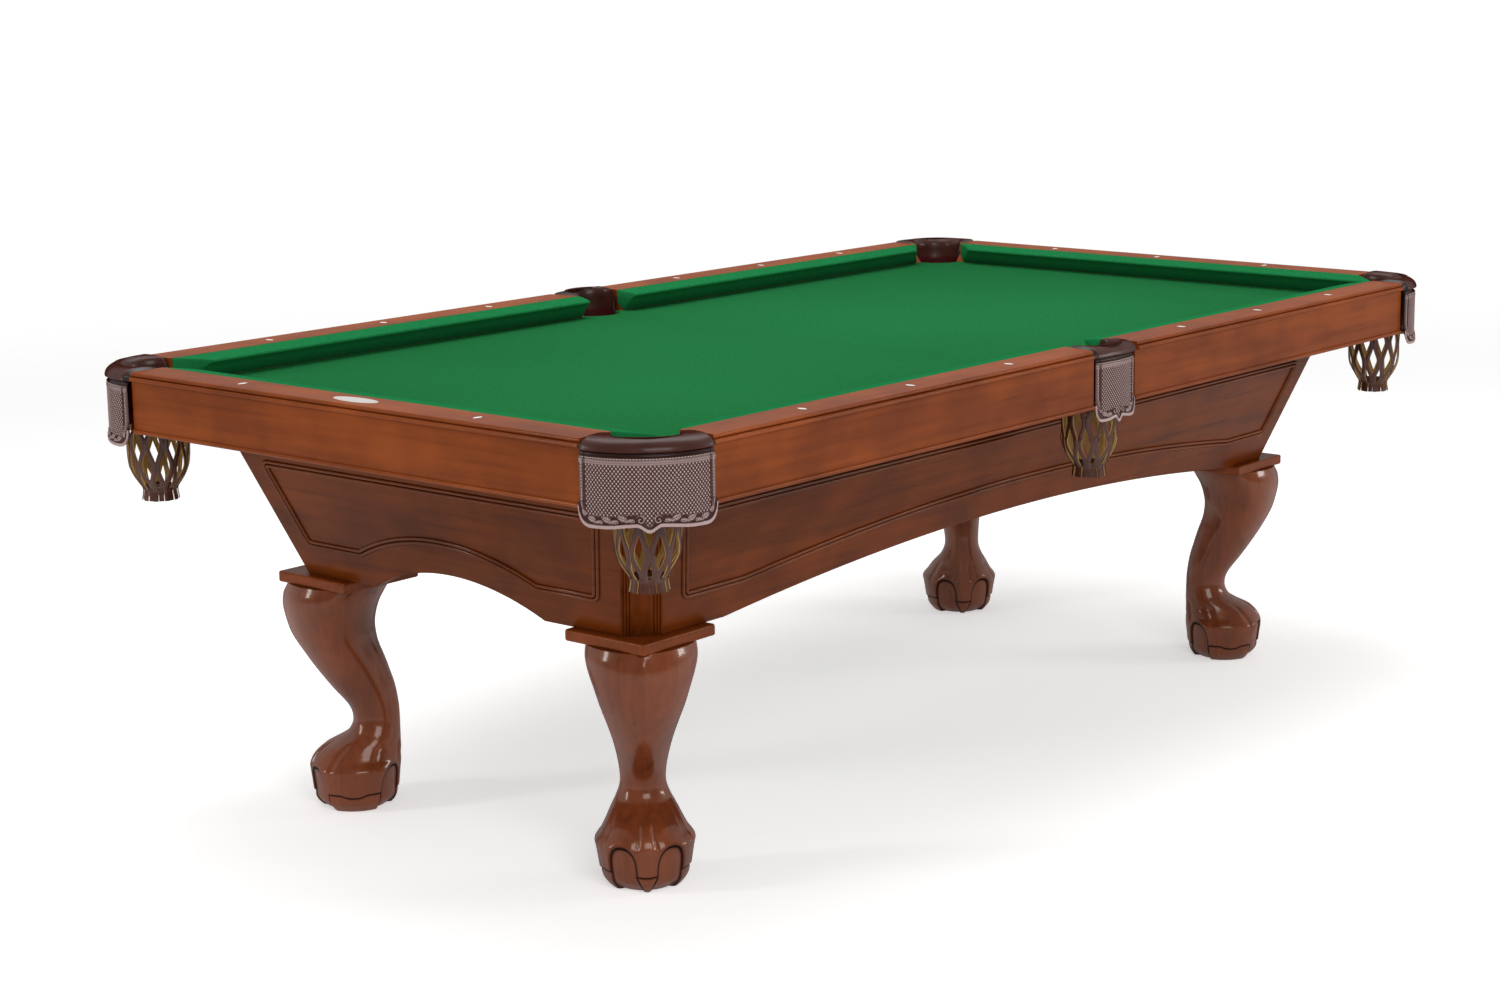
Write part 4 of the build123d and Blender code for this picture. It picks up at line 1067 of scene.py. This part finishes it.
def along_path(points, count):
    """Evenly spaced points on a plan polyline."""
    lengths = [0.0]
    for a, b in zip(points, points[1:]):
        lengths.append(lengths[-1] + (b - a).length)
    spaced = []
    index = 0
    for k in range(count + 1):
        want = lengths[-1] * k / count
        while index < len(points) - 2 and lengths[index + 1] < want:
            index += 1
        share = (want - lengths[index]) / max(lengths[index + 1] - lengths[index], 1e-9)
        spaced.append(points[index].lerp(points[index + 1], share))
    return spaced


def plan_arc(middle, radius, start, end, count):
    turns = [start + (end - start) * k / count for k in range(count + 1)]
    return [Vector((middle[0] + radius * cos(t), middle[1] + radius * sin(t))) for t in turns]


def ring_points(px, py, radius, z, count):
    """Points of a level ring."""
    turns = [2 * pi * k / count for k in range(count)]
    return [Vector((px + radius * cos(t), py + radius * sin(t), z)) for t in turns]


def corner_rim_paths(round_radius, count):
    """Inner and outer plan lines of the corner rim in the quarter where x and y are positive."""
    ear_x = rail_end_x + ear_gap
    ear_y = rail_end_y + ear_gap
    cx, cy = rim_x - round_radius, rim_y - round_radius
    outer = [Vector((ear_x, rim_y))]
    outer += plan_arc((cx, cy), round_radius, pi / 2, 0, 40)
    outer += [Vector((rim_x, ear_y))]
    foot_x = cushion_back_x + cushion_gap
    drop = sqrt(corner_hole**2 - (ear_foot - corner_y) ** 2)
    start = atan2(ear_foot - corner_y, -drop)
    inner = [Vector((ear_x, ear_foot))]
    inner += plan_arc((corner_x, corner_y), corner_hole, start, pi / 2 - start, 60)
    inner += [Vector((foot_x, ear_y))]
    return along_path(inner, count), along_path(outer, count)


def side_rim_paths(count):
    """Inner and outer plan lines of the side rim at positive y."""
    drop = sqrt(side_hole**2 - (ear_foot - side_y) ** 2)
    start = atan2(ear_foot - side_y, -drop) % (2 * pi)
    bow = rim_y - rail_outer_y
    radius = (side_rim_half**2 + bow**2) / (2 * bow)
    reach = 2 * atan2(bow, side_rim_half)
    outer = plan_arc((0, rim_y - radius), radius, pi / 2 + reach, pi / 2 - reach, 40)
    ear = side_rim_half - ear_inset - ear_gap
    inner = [Vector((-ear, ear_foot))]
    inner += plan_arc((0, side_y), side_hole, start, pi - start, 60)
    inner += [Vector((ear, ear_foot))]
    return along_path(inner, count), along_path(outer, count)


def rim_section(reach):
    """Closed section of a rim as (out from the hole, height), up the lining and over the roll."""
    top = rim_top
    under = shield_top + 0.0004
    roll = [radians(10 * k) for k in range(10)]
    return [
        (0.0000, liner_break),
        (-0.0002, liner_break + 0.014),
        (-0.0012, liner_break + 0.026),
        (-0.0014, liner_break + 0.030),
        (-0.0002, liner_break + 0.034),
        (0.0000, top - 0.026),
        (0.0002, top - 0.016),
        (0.0022, top - 0.0085),
        (0.0068, top - 0.0036),
        (0.28 * reach, top - 0.0012),
        (0.45 * reach, top - 0.0002),
        *[(reach - roll_reach * (1 - sin(t)), top - 0.0006 - roll_drop * (1 - cos(t))) for t in roll],
        (reach - 0.0010, under + 0.0042),
        (reach - 0.0036, under + 0.0012),
        (reach - 0.0090, under),
        (0.0045, under),
        (0.0045, liner_break),
    ]


def rim_rows(inner, outer):
    """Rows of the rim's section along its plan lines, drawn in at both ends."""
    count = len(inner) - 1
    rows = []
    for k, (near, far) in enumerate(zip(inner, outer)):
        reach = (far - near).length
        heading = (far - near) / reach
        end = min(k, count - k)
        pinch = ear_pinch[end] if end < len(ear_pinch) else 0.0
        points = []
        for d, z in rim_section(reach):
            if pinch and z > shield_top:
                d += pinch if d < reach / 2 else -pinch
                z -= pinch if z > rim_top - ear_shoulder else 0.0
            points.append(Vector((*(near + heading * d), z)))
        rows.append(points)
    return rows


def flip(points, sx, sy):
    return [Vector((p.x * sx, p.y * sy, p.z)) for p in points]


class TABLE_OT_roll_rims(Operator):
    """Rolls the leather rims of the six pockets, with their lining"""

    bl_idname = "table.roll_rims"
    bl_label = "Roll rims"

    def execute(self, context):
        sizes = context.scene.table_sizes
        corner_paths = corner_rim_paths(sizes.rim_corner_radius, rim_rows_count)
        side_paths = side_rim_paths(rim_rows_count)
        for name, (sx, sy) in pockets.items():
            inner, outer = corner_paths if sx else side_paths
            middle, hole = ((corner_x, corner_y), corner_hole) if sx else ((0, side_y), side_hole)
            bm = bmesh.new()
            rows = [flip(row, sx or 1, sy) for row in rim_rows(inner, outer)]
            loft(bm, rows, closed=True, capped=True)
            bm.faces.ensure_lookup_table()
            around = len(rows[0])
            # The pinched end rows take the ear finish, painted shade in the recessed neck
            for face in [*bm.faces[:2 * around], *bm.faces[-2 * around - 2:]]:
                face.material_index = 2
            lining_top = liner_break - lining_gap
            outside = hole + sizes.hole_wall
            rings = []
            for radius, z in (
                (hole, lining_top),
                (hole, liner_bottom),
                (outside, liner_bottom),
                (outside, lining_top),
                (hole, lining_top),
            ):
                rings.append(flip(ring_points(*middle, radius, z, 64), sx or 1, sy))
            loft(bm, rings, closed=True)
            bmesh.ops.remove_doubles(bm, verts=bm.verts[:], dist=0.00002)
            pocket = Vector((middle[0] * (sx or 1), middle[1] * sy))
            for face in bm.faces:
                spot = face.calc_center_median()
                inside = (spot.xy - pocket).length < hole + lining_reach
                if inside and spot.z < shield_top - lining_drop:
                    face.material_index = 1
            piece_from(
                bm,
                f"leather_rim_{name}",
                [finishes["leather"], finishes["liner"], finishes["ear"]],
                [f"pocket_rim_{name}"],
                angle=60,
            )
        return {"FINISHED"}


# Tooled shields
lobe_share = 0.78
lobe_lift = 0.005
lobe_height = 0.026
tip_share = 0.16
tip_height = 0.009
belly_share = 0.62
belly_dip = 0.004
tool_depth = 0.0017
leaf_length = 0.017
leaf_half_width = 0.0052
leaf_pitch = 0.0125
leaf_start = 0.022
leaf_rise = 0.0024
scroll_reach = 0.0078
scroll_pitch = 0.0052
scroll_out = 0.0135
scroll_lift = 0.0125
field_side = 0.0125
field_drop = 0.0165
side_lines = (0.0085, 0.0115)
side_line_width = 0.0008
side_line_depth = 0.0009
top_ribs = ((0.0115, 0.0012), (0.0148, 0.0011))
top_rib_rise = 0.0012
edge_groove = 0.0064
edge_groove_width = 0.0010
edge_groove_depth = 0.0010
border_gap = 0.032
border_side = 0.026
# Tones of the tooling, from 0, darkest, in a hollow to 1, a painted highlight, on a crest; above 0.5 a
# tone mixes in the painted highlight colour
plain_tone = 0.66
border_tone = 0.34
line_tone = 0.10
hem_highlight_tone = 0.92
groove_tone = 0.05
rib_highlight_tone = 0.90
tuck_tone = 0.12
shield_pitch = 0.0010
shield_inset = 0.0030
shield_tuck = 0.0030
shield_flare = 0.0035
stitch_pitch = 0.0050
stitch_drop = 0.0072
stitch_radius = 0.0006
stitch_stretch = 2.9
stitch_inset = 0.0027
side_stitch_inset = 0.0045
side_stitch_start = 0.017


def shield_edge(share):
    """Height of a shield's lower edge at a share of its half width, 0 at the middle."""
    share = abs(share)
    if share < lobe_share:
        dip = belly_dip * step(tip_share, belly_share, share)
        return shield_tip + tip_height * step(0.0, tip_share, share) - dip
    turn = (share - lobe_share) / (1 - lobe_share)
    return shield_tip + lobe_lift + lobe_height * (1 - sqrt(max(0.0, 1 - turn**2.4)))


def leaf_height(across, up, leaf):
    """Height of one tooled leaf, with a midrib and slanting veins, at a place on the shield."""
    root_s, root_z, turn, size = leaf
    ds, dz = across - root_s, up - root_z
    along = (ds * cos(turn) + dz * sin(turn)) / (leaf_length * size)
    side = (dz * cos(turn) - ds * sin(turn)) / (leaf_half_width * size)
    if not 0 < along < 1:
        return 0.0
    half = sin(pi * along**0.8) ** 0.7
    if abs(side) > half:
        return 0.0
    crown = sqrt(1 - (side / half) ** 2)
    vein = 0.5 + 0.5 * cos(26 * along - 7 * abs(side))
    rib = 1 - 0.45 * exp(-((side / 0.10) ** 2))
    return (0.45 + 0.55 * crown) * (0.70 + 0.30 * vein) * rib


def scroll_height(across, up, middle_s, middle_z, hand):
    """Height of a spiral curl at a place on the shield."""
    ds, dz = (across - middle_s) * hand, up - middle_z
    reach = hypot(ds, dz)
    if reach > scroll_reach:
        return 0.0
    turn = atan2(dz, ds)
    arm = (reach / scroll_pitch + turn / (2 * pi)) % 1.0
    return exp(-(((arm - 0.5) / 0.24) ** 2)) * step(scroll_reach, 0.0066, reach)


def shield_leaves(half):
    """Leaves along the lower border, from each scroll out to the lobes, then up the sides."""
    leaves = []
    for hand in (-1, 1):
        count = max(2, round((half * 0.80 - 0.024) / leaf_pitch))
        for k in range(count):
            s = leaf_start + leaf_pitch * k
            rise = shield_edge(s / half) + 0.0100 + 0.0015 * (k % 2)
            tilt = 0.30 if k % 2 else -0.22
            turn = tilt if hand > 0 else pi - tilt
            leaves.append((hand * s, rise, turn, 0.95))
        for k, z in enumerate((0.022, 0.031)):
            turn = radians(68) if hand > 0 else radians(112)
            leaves.append((hand * (half - 0.0125 + 0.002 * k), shield_tip + z, turn, 0.85))
    return leaves


def toward(tone, goal, share):
    return tone + (goal - tone) * min(1.0, max(0.0, share))


def tooling(across, up, half, leaves, sizes):
    """Height of the tooled pattern at a place on a shield, in metres, and its tone from 0 to 1, whose
    upper end is a painted highlight.
    """
    gap = up - shield_edge(across / half)
    from_side = half - abs(across)
    drop = shield_top - up
    border = 0.0
    if gap < border_gap or from_side < border_side:
        border = max((leaf_height(across, up, leaf) for leaf in leaves), default=0.0)
        scroll_up = shield_edge(scroll_out / half) + scroll_lift
        for hand in (-1, 1):
            border = max(border, scroll_height(across, up, hand * scroll_out, scroll_up, hand))
    a = sin(pi * (across / sizes.weave_across + up / sizes.weave_up))
    b = sin(pi * (across / sizes.weave_across - up / sizes.weave_up))
    diamond = min(abs(a), abs(b)) ** 0.8
    floor_gap = 0.0075 + 0.0095 * step(0.0, 0.012, abs(across))
    field = step(floor_gap, floor_gap + 0.002, gap) * step(field_side, field_side + 0.0015, from_side)
    field *= step(field_drop, field_drop + 0.0015, drop) * (1 - min(1.0, border * 4))
    lines = 0.0
    for inset in side_lines:
        lines += exp(-(((from_side - inset) / side_line_width) ** 2)) * step(0.020, 0.024, gap)
    ribs = 0.0
    for sunk, width in top_ribs:
        ribs += exp(-(((drop - sunk) / width) ** 2))
    groove = exp(-(((gap - edge_groove) / edge_groove_width) ** 2))
    height = tool_depth * field * (diamond - 0.5) + leaf_rise * border
    height += top_rib_rise * ribs - side_line_depth * lines - edge_groove_depth * groove
    tone = toward(plain_tone, border_tone, step(0.019, 0.015, gap))
    # Painted highlight on the tops of the diamonds, darkest between them
    tone = toward(tone, 0.02 + 1.1 * diamond, field)
    tone = toward(tone, line_tone + (1 - line_tone) * border, border * 4)
    tone = toward(tone, hem_highlight_tone, step(0.0066, 0.0050, gap))
    tone = toward(tone, groove_tone, 0.8 * groove)
    tone = toward(tone, line_tone, lines)
    tone = toward(tone, rib_highlight_tone, 0.6 * ribs)
    tone = toward(tone, tuck_tone, step(0.0064, 0.0052, drop))
    return height, min(1.0, max(0.0, tone))


def corner_shield_place(round_radius):
    """Maps (across, outwards) on a corner shield to a plan point where x and y are positive."""
    quarter = round_radius * pi / 4
    cx, cy = rim_x - round_radius, rim_y - round_radius

    def place(across, proud):
        turn = pi / 4 + max(-quarter, min(quarter, across)) / round_radius
        spare = across - max(-quarter, min(quarter, across))
        x = cx + (round_radius + proud) * cos(turn) - spare * sin(turn)
        y = cy + (round_radius + proud) * sin(turn) + spare * cos(turn)
        return x, y

    return place


def side_shield_place(radius):
    """Maps (across, outwards) on a side shield to a plan point at positive y."""

    def place(across, proud):
        turn = across / radius
        return -(radius + proud) * sin(turn), rim_y - radius + (radius + proud) * cos(turn)

    return place


class TABLE_OT_tool_shields(Operator):
    """Tools the leather shields that hang below the rims, and stitches their upper edge and sides"""

    bl_idname = "table.tool_shields"
    bl_label = "Tool shields"

    def execute(self, context):
        sizes = context.scene.table_sizes
        straight = rim_x - sizes.rim_corner_radius - rail_end_x - 0.0055
        corner_half = sizes.rim_corner_radius * pi / 4 + straight
        for name, (sx, sy) in pockets.items():
            if sx:
                half, place = corner_half, corner_shield_place(sizes.rim_corner_radius)
            else:
                half, place = sizes.side_shield_half, side_shield_place(sizes.side_shield_radius)
            leaves = shield_leaves(half)
            bm = bmesh.new()
            tooled = bm.verts.layers.float.new("tooled")
            across_count = round(2 * half / shield_pitch)
            up_count = round((shield_top - shield_tip) / shield_pitch)
            bmesh.ops.create_grid(bm, x_segments=across_count, y_segments=up_count, size=1.0)
            for vertex in bm.verts:
                across = vertex.co.x * half
                edge = shield_edge(across / half)
                up = edge + (shield_top - edge) * (vertex.co.y + 1) / 2
                gap = up - edge
                flare = shield_flare * (1 - step(0.0, 0.022, gap)) ** 2
                tuck = shield_tuck * step(shield_top - 0.0080, shield_top - 0.0020, up)
                height, tone = tooling(across, up, half, leaves, sizes)
                x, y = place(across, flare - tuck - shield_inset + height)
                # The tone puts a painted highlight on the crests, the hem and the ribs
                vertex[tooled] = tone
                vertex.co = Vector((x * (sx or 1), y * sy, up))
            bmesh.ops.recalc_face_normals(bm, faces=bm.faces[:])
            self.face_outwards(bm, sx, sy)
            piece = piece_from(
                bm,
                f"leather_shield_{name}",
                [finishes["tooled"]],
                [f"pocket_shield_{name}"],
                angle=75,
                outward=False,
            )
            wall = piece.modifiers.new("wall", "SOLIDIFY")
            wall.thickness = sizes.shield_wall
            wall.offset = -1.0
            self.stitch(name, sx, sy, half, place)
        return {"FINISHED"}

    def face_outwards(self, bm, sx, sy):
        bm.faces.ensure_lookup_table()
        middle = bm.faces[len(bm.faces) // 2]
        if middle.normal.dot(Vector((sx, sy, 0))) < 0:
            bmesh.ops.reverse_faces(bm, faces=bm.faces[:])

    def stitch(self, name, sx, sy, half, place):
        bm = bmesh.new()
        run = half - 0.006
        count = round(2 * run / stitch_pitch)
        level = (stitch_stretch, 1.0, 1.0)
        upright = (1.0, 1.0, stitch_stretch)
        seats = [(-run + (k + 0.5) * 2 * run / count, stitch_drop, level) for k in range(count)]
        rows = round((shield_top - shield_tip - 0.046) / stitch_pitch)
        for hand in (-1, 1):
            for k in range(rows):
                drop = side_stitch_start + stitch_pitch * k
                seats.append((hand * (half - side_stitch_inset), drop, upright))
        for across, drop, shape in seats:
            start = Vector(place(across - 0.0016, -stitch_inset))
            end = Vector(place(across + 0.0016, -stitch_inset))
            heading = atan2(end.y - start.y, end.x - start.x)
            spot = (start + end) / 2
            bead = bmesh.ops.create_uvsphere(bm, u_segments=8, v_segments=6, radius=stitch_radius)
            made = bead["verts"]
            bmesh.ops.scale(bm, verts=made, vec=shape)
            bmesh.ops.rotate(bm, verts=made, cent=(0, 0, 0), matrix=Matrix.Rotation(heading, 3, "Z"))
            bmesh.ops.translate(bm, verts=made, vec=(spot.x, spot.y, shield_top - drop))
        bmesh.ops.scale(bm, verts=bm.verts[:], vec=(sx or 1, sy, 1))
        piece_from(bm, f"stitching_{name}", [finishes["thread"]])


# Nets: drop below the liner, radius and half turns of sway, from the collar down to the hem
collar_radius = 0.0530
neck_radius = 0.0285
neck_drop = 0.123
net_profile = [
    (0.0, collar_radius, 0.0),
    (0.038, 0.0524, 1.0),
    (0.080, 0.0500, 2.0),
    (0.100, 0.0425, 2.5),
    (0.113, 0.0345, 2.85),
    (neck_drop, neck_radius, 3.0),
    (0.132, 0.0288, 3.0),
    (0.143, 0.0305, 3.0),
]
strap_sway = 0.64
strap_lap = 0.0007
fringe_fold = 0.0011
strap_steps = 44
collar_end = 0.07
fringe_start = (0.119, 0.126)
collar_band = (0.0020, 0.0070)
neck_band = (0.0016, 0.0040)
net_floor_radius = 0.0275
net_floor_flat = 0.22
net_floor_drop = 0.121


class TABLE_OT_cut_nets(Operator):
    """Cuts the six leather nets into straps that part and meet, drawn in above a cut fringe"""

    bl_idname = "table.cut_nets"
    bl_label = "Cut nets"

    def execute(self, context):
        sizes = context.scene.table_sizes
        for name, (sx, sy) in pockets.items():
            px, py = (sx * corner_x, sy * corner_y) if sx else (0, sy * side_y)
            hole = corner_hole if sx else side_hole
            scale = (hole + 0.001) / collar_radius
            bm = bmesh.new()
            skin = bm.verts.layers.float.new("skin")
            for k in range(sizes.straps):
                self.strap(bm, k, px, py, scale, sizes)
            for face in bm.faces:
                face.material_index = 0 if all(v[skin] for v in face.verts) else 1
            bm.verts.layers.float.remove(skin)
            self.band(bm, px, py, neck_radius, liner_bottom - neck_drop, *neck_band)
            self.band(bm, px, py, collar_radius * scale, liner_bottom, *collar_band)
            self.net_floor(bm, px, py)
            piece_from(
                bm,
                f"strap_net_{name}",
                [finishes["strap"], finishes["raw_edge"]],
                [f"pocket_net_{name}"],
                angle=50,
            )
        return {"FINISHED"}

    def strap(self, bm, k, px, py, scale, sizes):
        pitch = 2 * pi / sizes.straps
        hand = 1 if k % 2 == 0 else -1
        rows = []
        hem_drop = net_profile[-1][0]
        for i in range(strap_steps + 1):
            drop = hem_drop * i / strap_steps
            radius, phase = between(net_profile, drop)
            radius *= scale if drop < collar_end else 1.0
            swing = cos(pi * phase) * hand
            below = step(*fringe_start, drop)
            radius += hand * (strap_lap + (fringe_fold - strap_lap) * below)
            turn = pitch * (k + 0.5 * strap_sway * swing * (1 - below))
            width = min(sizes.strap_width, radius * pitch * (0.98 if below else 1.4))
            wall = sizes.strap_wall * (1 - 0.35 * below)
            outward = Vector((cos(turn), sin(turn), 0))
            sideways = Vector((-sin(turn), cos(turn), 0))
            foot = Vector((px, py, liner_bottom - drop)) + outward * radius
            half, deep = width / 2, wall / 2
            section = [
                (-half, -deep),
                (-half, deep * 0.4),
                (-half * 0.72, deep),
                (half * 0.72, deep),
                (half, deep * 0.4),
                (half, -deep),
            ]
            rows.append([foot + sideways * s + outward * d for s, d in section])
        skin = bm.verts.layers.float["skin"]
        for end in marked_loft(bm, rows, [(0, 1, 1, 1, 1, 0)] * len(rows), skin, closed=True):
            bmesh.ops.contextual_create(bm, geom=end)

    def band(self, bm, px, py, radius, z, thick, tall):
        section = [(0, -tall / 2), (thick, -tall / 3), (thick, tall / 3), (0, tall / 2), (-thick, 0)]
        section += section[:1]
        loft(bm, [ring_points(px, py, radius + d, z + up, 48) for d, up in section], closed=True)
        bmesh.ops.remove_doubles(bm, verts=bm.verts[:], dist=0.00001)

    def net_floor(self, bm, px, py):
        made = bmesh.ops.create_uvsphere(bm, u_segments=24, v_segments=8, radius=net_floor_radius)["verts"]
        bmesh.ops.scale(bm, verts=made, vec=(1, 1, net_floor_flat))
        bmesh.ops.translate(bm, verts=made, vec=(px, py, liner_bottom - net_floor_drop))


# Stage
floor_radius = 7.0
floor_drop = 0.0005
floor_glow = 0.45
room_light = 0.38
backdrop_edge = (0.35, -0.25)


def seen_directly(tree):
    """1 for rays that show the surface itself: from the camera, in a reflection or through glass."""
    rays = put(tree, "ShaderNodeLightPath")
    seen = math(tree, "MAXIMUM", rays.outputs["Is Camera Ray"], rays.outputs["Is Glossy Ray"])
    return math(tree, "MAXIMUM", seen, rays.outputs["Is Transmission Ray"])


class TABLE_OT_light_stage(Operator):
    """Sets the pale floor, the soft lights and the camera"""

    bl_idname = "table.light_stage"
    bl_label = "Light stage"

    def lamp(self, name, place, aim, size, power):
        light = bpy.data.lights.new(name, "AREA")
        light.shape = "RECTANGLE"
        light.size, light.size_y = size
        light.energy = power
        holder = bpy.data.objects.new(name, light)
        holder.location = place
        holder.rotation_euler = (Vector(aim) - Vector(place)).to_track_quat("-Z", "Y").to_euler()
        bpy.context.scene.collection.objects.link(holder)

    def paint_world(self, tree, azimuth):
        """A white backdrop behind the table; reflections of the room before it are dimmer."""
        background = tree.nodes["Background"]
        background.inputs["Color"].default_value = (1, 1, 1, 1)
        rays = put(tree, "ShaderNodeLightPath")
        toward_camera = put(tree, "ShaderNodeVectorMath", operation="DOT_PRODUCT")
        heading = put(tree, "ShaderNodeNewGeometry").outputs["Incoming"]
        tree.links.new(heading, toward_camera.inputs[0])
        toward_camera.inputs[1].default_value = (-sin(azimuth), cos(azimuth), 0.0)
        behind = ramp(tree, toward_camera.outputs["Value"], *backdrop_edge)
        mirrored = math(tree, "MULTIPLY", rays.outputs["Is Glossy Ray"], behind)
        seen = math(tree, "MAXIMUM", rays.outputs["Is Camera Ray"], rays.outputs["Is Transmission Ray"])
        seen = math(tree, "MAXIMUM", seen, mirrored)
        share = math(tree, "MULTIPLY", seen, 1.0 - room_light)
        feed(tree, background, Strength=math(tree, "ADD", share, room_light))

    def lay_floor(self, scene, studio):
        """A round floor that shows the shadows and fades out into the backdrop."""
        bm = bmesh.new()
        bmesh.ops.create_circle(bm, cap_ends=True, segments=64, radius=floor_radius)
        bmesh.ops.translate(bm, verts=bm.verts[:], vec=(0, 0, -floor_drop))
        mesh = bpy.data.meshes.new("floor")
        bm.to_mesh(mesh)
        bm.free()
        floor_object = bpy.data.objects.new("floor", mesh)
        scene.collection.objects.link(floor_object)
        material, tree, shader = blank_material("floor")
        place = put(tree, "ShaderNodeTexCoord")
        reach = put(tree, "ShaderNodeVectorMath", operation="LENGTH")
        tree.links.new(place.outputs["Object"], reach.inputs[0])
        edge = ramp(tree, reach.outputs["Value"], 0.45 * floor_radius, 0.97 * floor_radius)
        fade = math(tree, "SUBTRACT", 1.0, edge)
        glow = math(tree, "MULTIPLY", seen_directly(tree), floor_glow)
        feed(tree, shader, Base_Color=rgba(studio.floor_colour), Roughness=0.9, Specular_IOR_Level=0.1)
        feed(tree, shader, Emission_Color=(1, 1, 1, 1), Emission_Strength=glow, Alpha=fade)
        mesh.materials.append(material)

    def place_camera(self, scene, studio):
        camera = bpy.data.cameras.new("camera")
        camera.sensor_width = 36.0
        camera.lens = studio.lens
        camera.shift_x = studio.shift_x
        camera.shift_y = studio.shift_y
        camera.clip_end = 100.0
        holder = bpy.data.objects.new("camera", camera)
        az, el, roll = studio.azimuth, studio.elevation, studio.roll
        back = Vector((sin(az) * cos(el), -cos(az) * cos(el), sin(el)))
        right = (-back).cross(Vector((0, 0, 1))).normalized()
        up = right.cross(-back)
        turned_right = right * cos(roll) + up * sin(roll)
        turned_up = up * cos(roll) - right * sin(roll)
        turn = Matrix((turned_right, turned_up, back)).transposed()
        holder.matrix_world = Matrix.Translation(studio.camera_place) @ turn.to_4x4()
        scene.collection.objects.link(holder)
        scene.camera = holder

    def execute(self, context):
        scene = context.scene
        studio = scene.table_studio
        self.lay_floor(scene, studio)
        world = bpy.data.worlds.new("studio")
        scene.world = world
        world.use_nodes = True
        self.paint_world(world.node_tree, studio.azimuth)
        self.lamp("overhead", (0.3, 0.4, 3.6), (0, 0, 0.8), (3.6, 2.2), 80)
        self.lamp("key", (-3.4, -4.6, 3.0), (-0.3, -0.2, 0.5), (3.0, 2.0), 120)
        self.lamp("left_fill", (-4.7, 2.8, 2.0), (-0.8, 0, 0.5), (0.6, 1.8), 52)
        self.lamp("right_fill", (4.2, -4.6, 2.0), (0.6, 0, 0.5), (2.0, 0.6), 66)
        self.place_camera(scene, studio)
        scene.view_settings.view_transform = "Standard"
        return {"FINISHED"}


class TABLE_PT_sidebar(Panel):
    """Lists the table's operators and settings"""

    bl_label = "Pool table"
    bl_idname = "TABLE_PT_sidebar"
    bl_space_type = "VIEW_3D"
    bl_region_type = "UI"
    bl_category = "Pool table"

    def draw(self, context):
        for operator in operators:
            self.layout.operator(operator.bl_idname)
        for group in (context.scene.table_colours, context.scene.table_sizes, context.scene.table_studio):
            box = self.layout.box()
            for name in group.__annotations__:
                box.prop(group, name)


operators = [
    TABLE_OT_mix_finishes,
    TABLE_OT_carve_legs,
    TABLE_OT_frame_cabinet,
    TABLE_OT_stretch_cloth,
    TABLE_OT_cover_cushions,
    TABLE_OT_roll_rims,
    TABLE_OT_tool_shields,
    TABLE_OT_cut_nets,
    TABLE_OT_light_stage,
]
classes = [TableColours, TableSizes, StudioSettings, *operators, TABLE_PT_sidebar]


def register():
    for item in classes:
        bpy.utils.register_class(item)
    bpy.types.Scene.table_colours = PointerProperty(type=TableColours)
    bpy.types.Scene.table_sizes = PointerProperty(type=TableSizes)
    bpy.types.Scene.table_studio = PointerProperty(type=StudioSettings)


def unregister():
    del bpy.types.Scene.table_studio
    del bpy.types.Scene.table_sizes
    del bpy.types.Scene.table_colours
    for item in reversed(classes):
        bpy.utils.unregister_class(item)


def main():
    register()
    for operator in operators:
        group, name = operator.bl_idname.split(".")
        getattr(getattr(bpy.ops, group), name)()


if __name__ == "__main__":
    main()
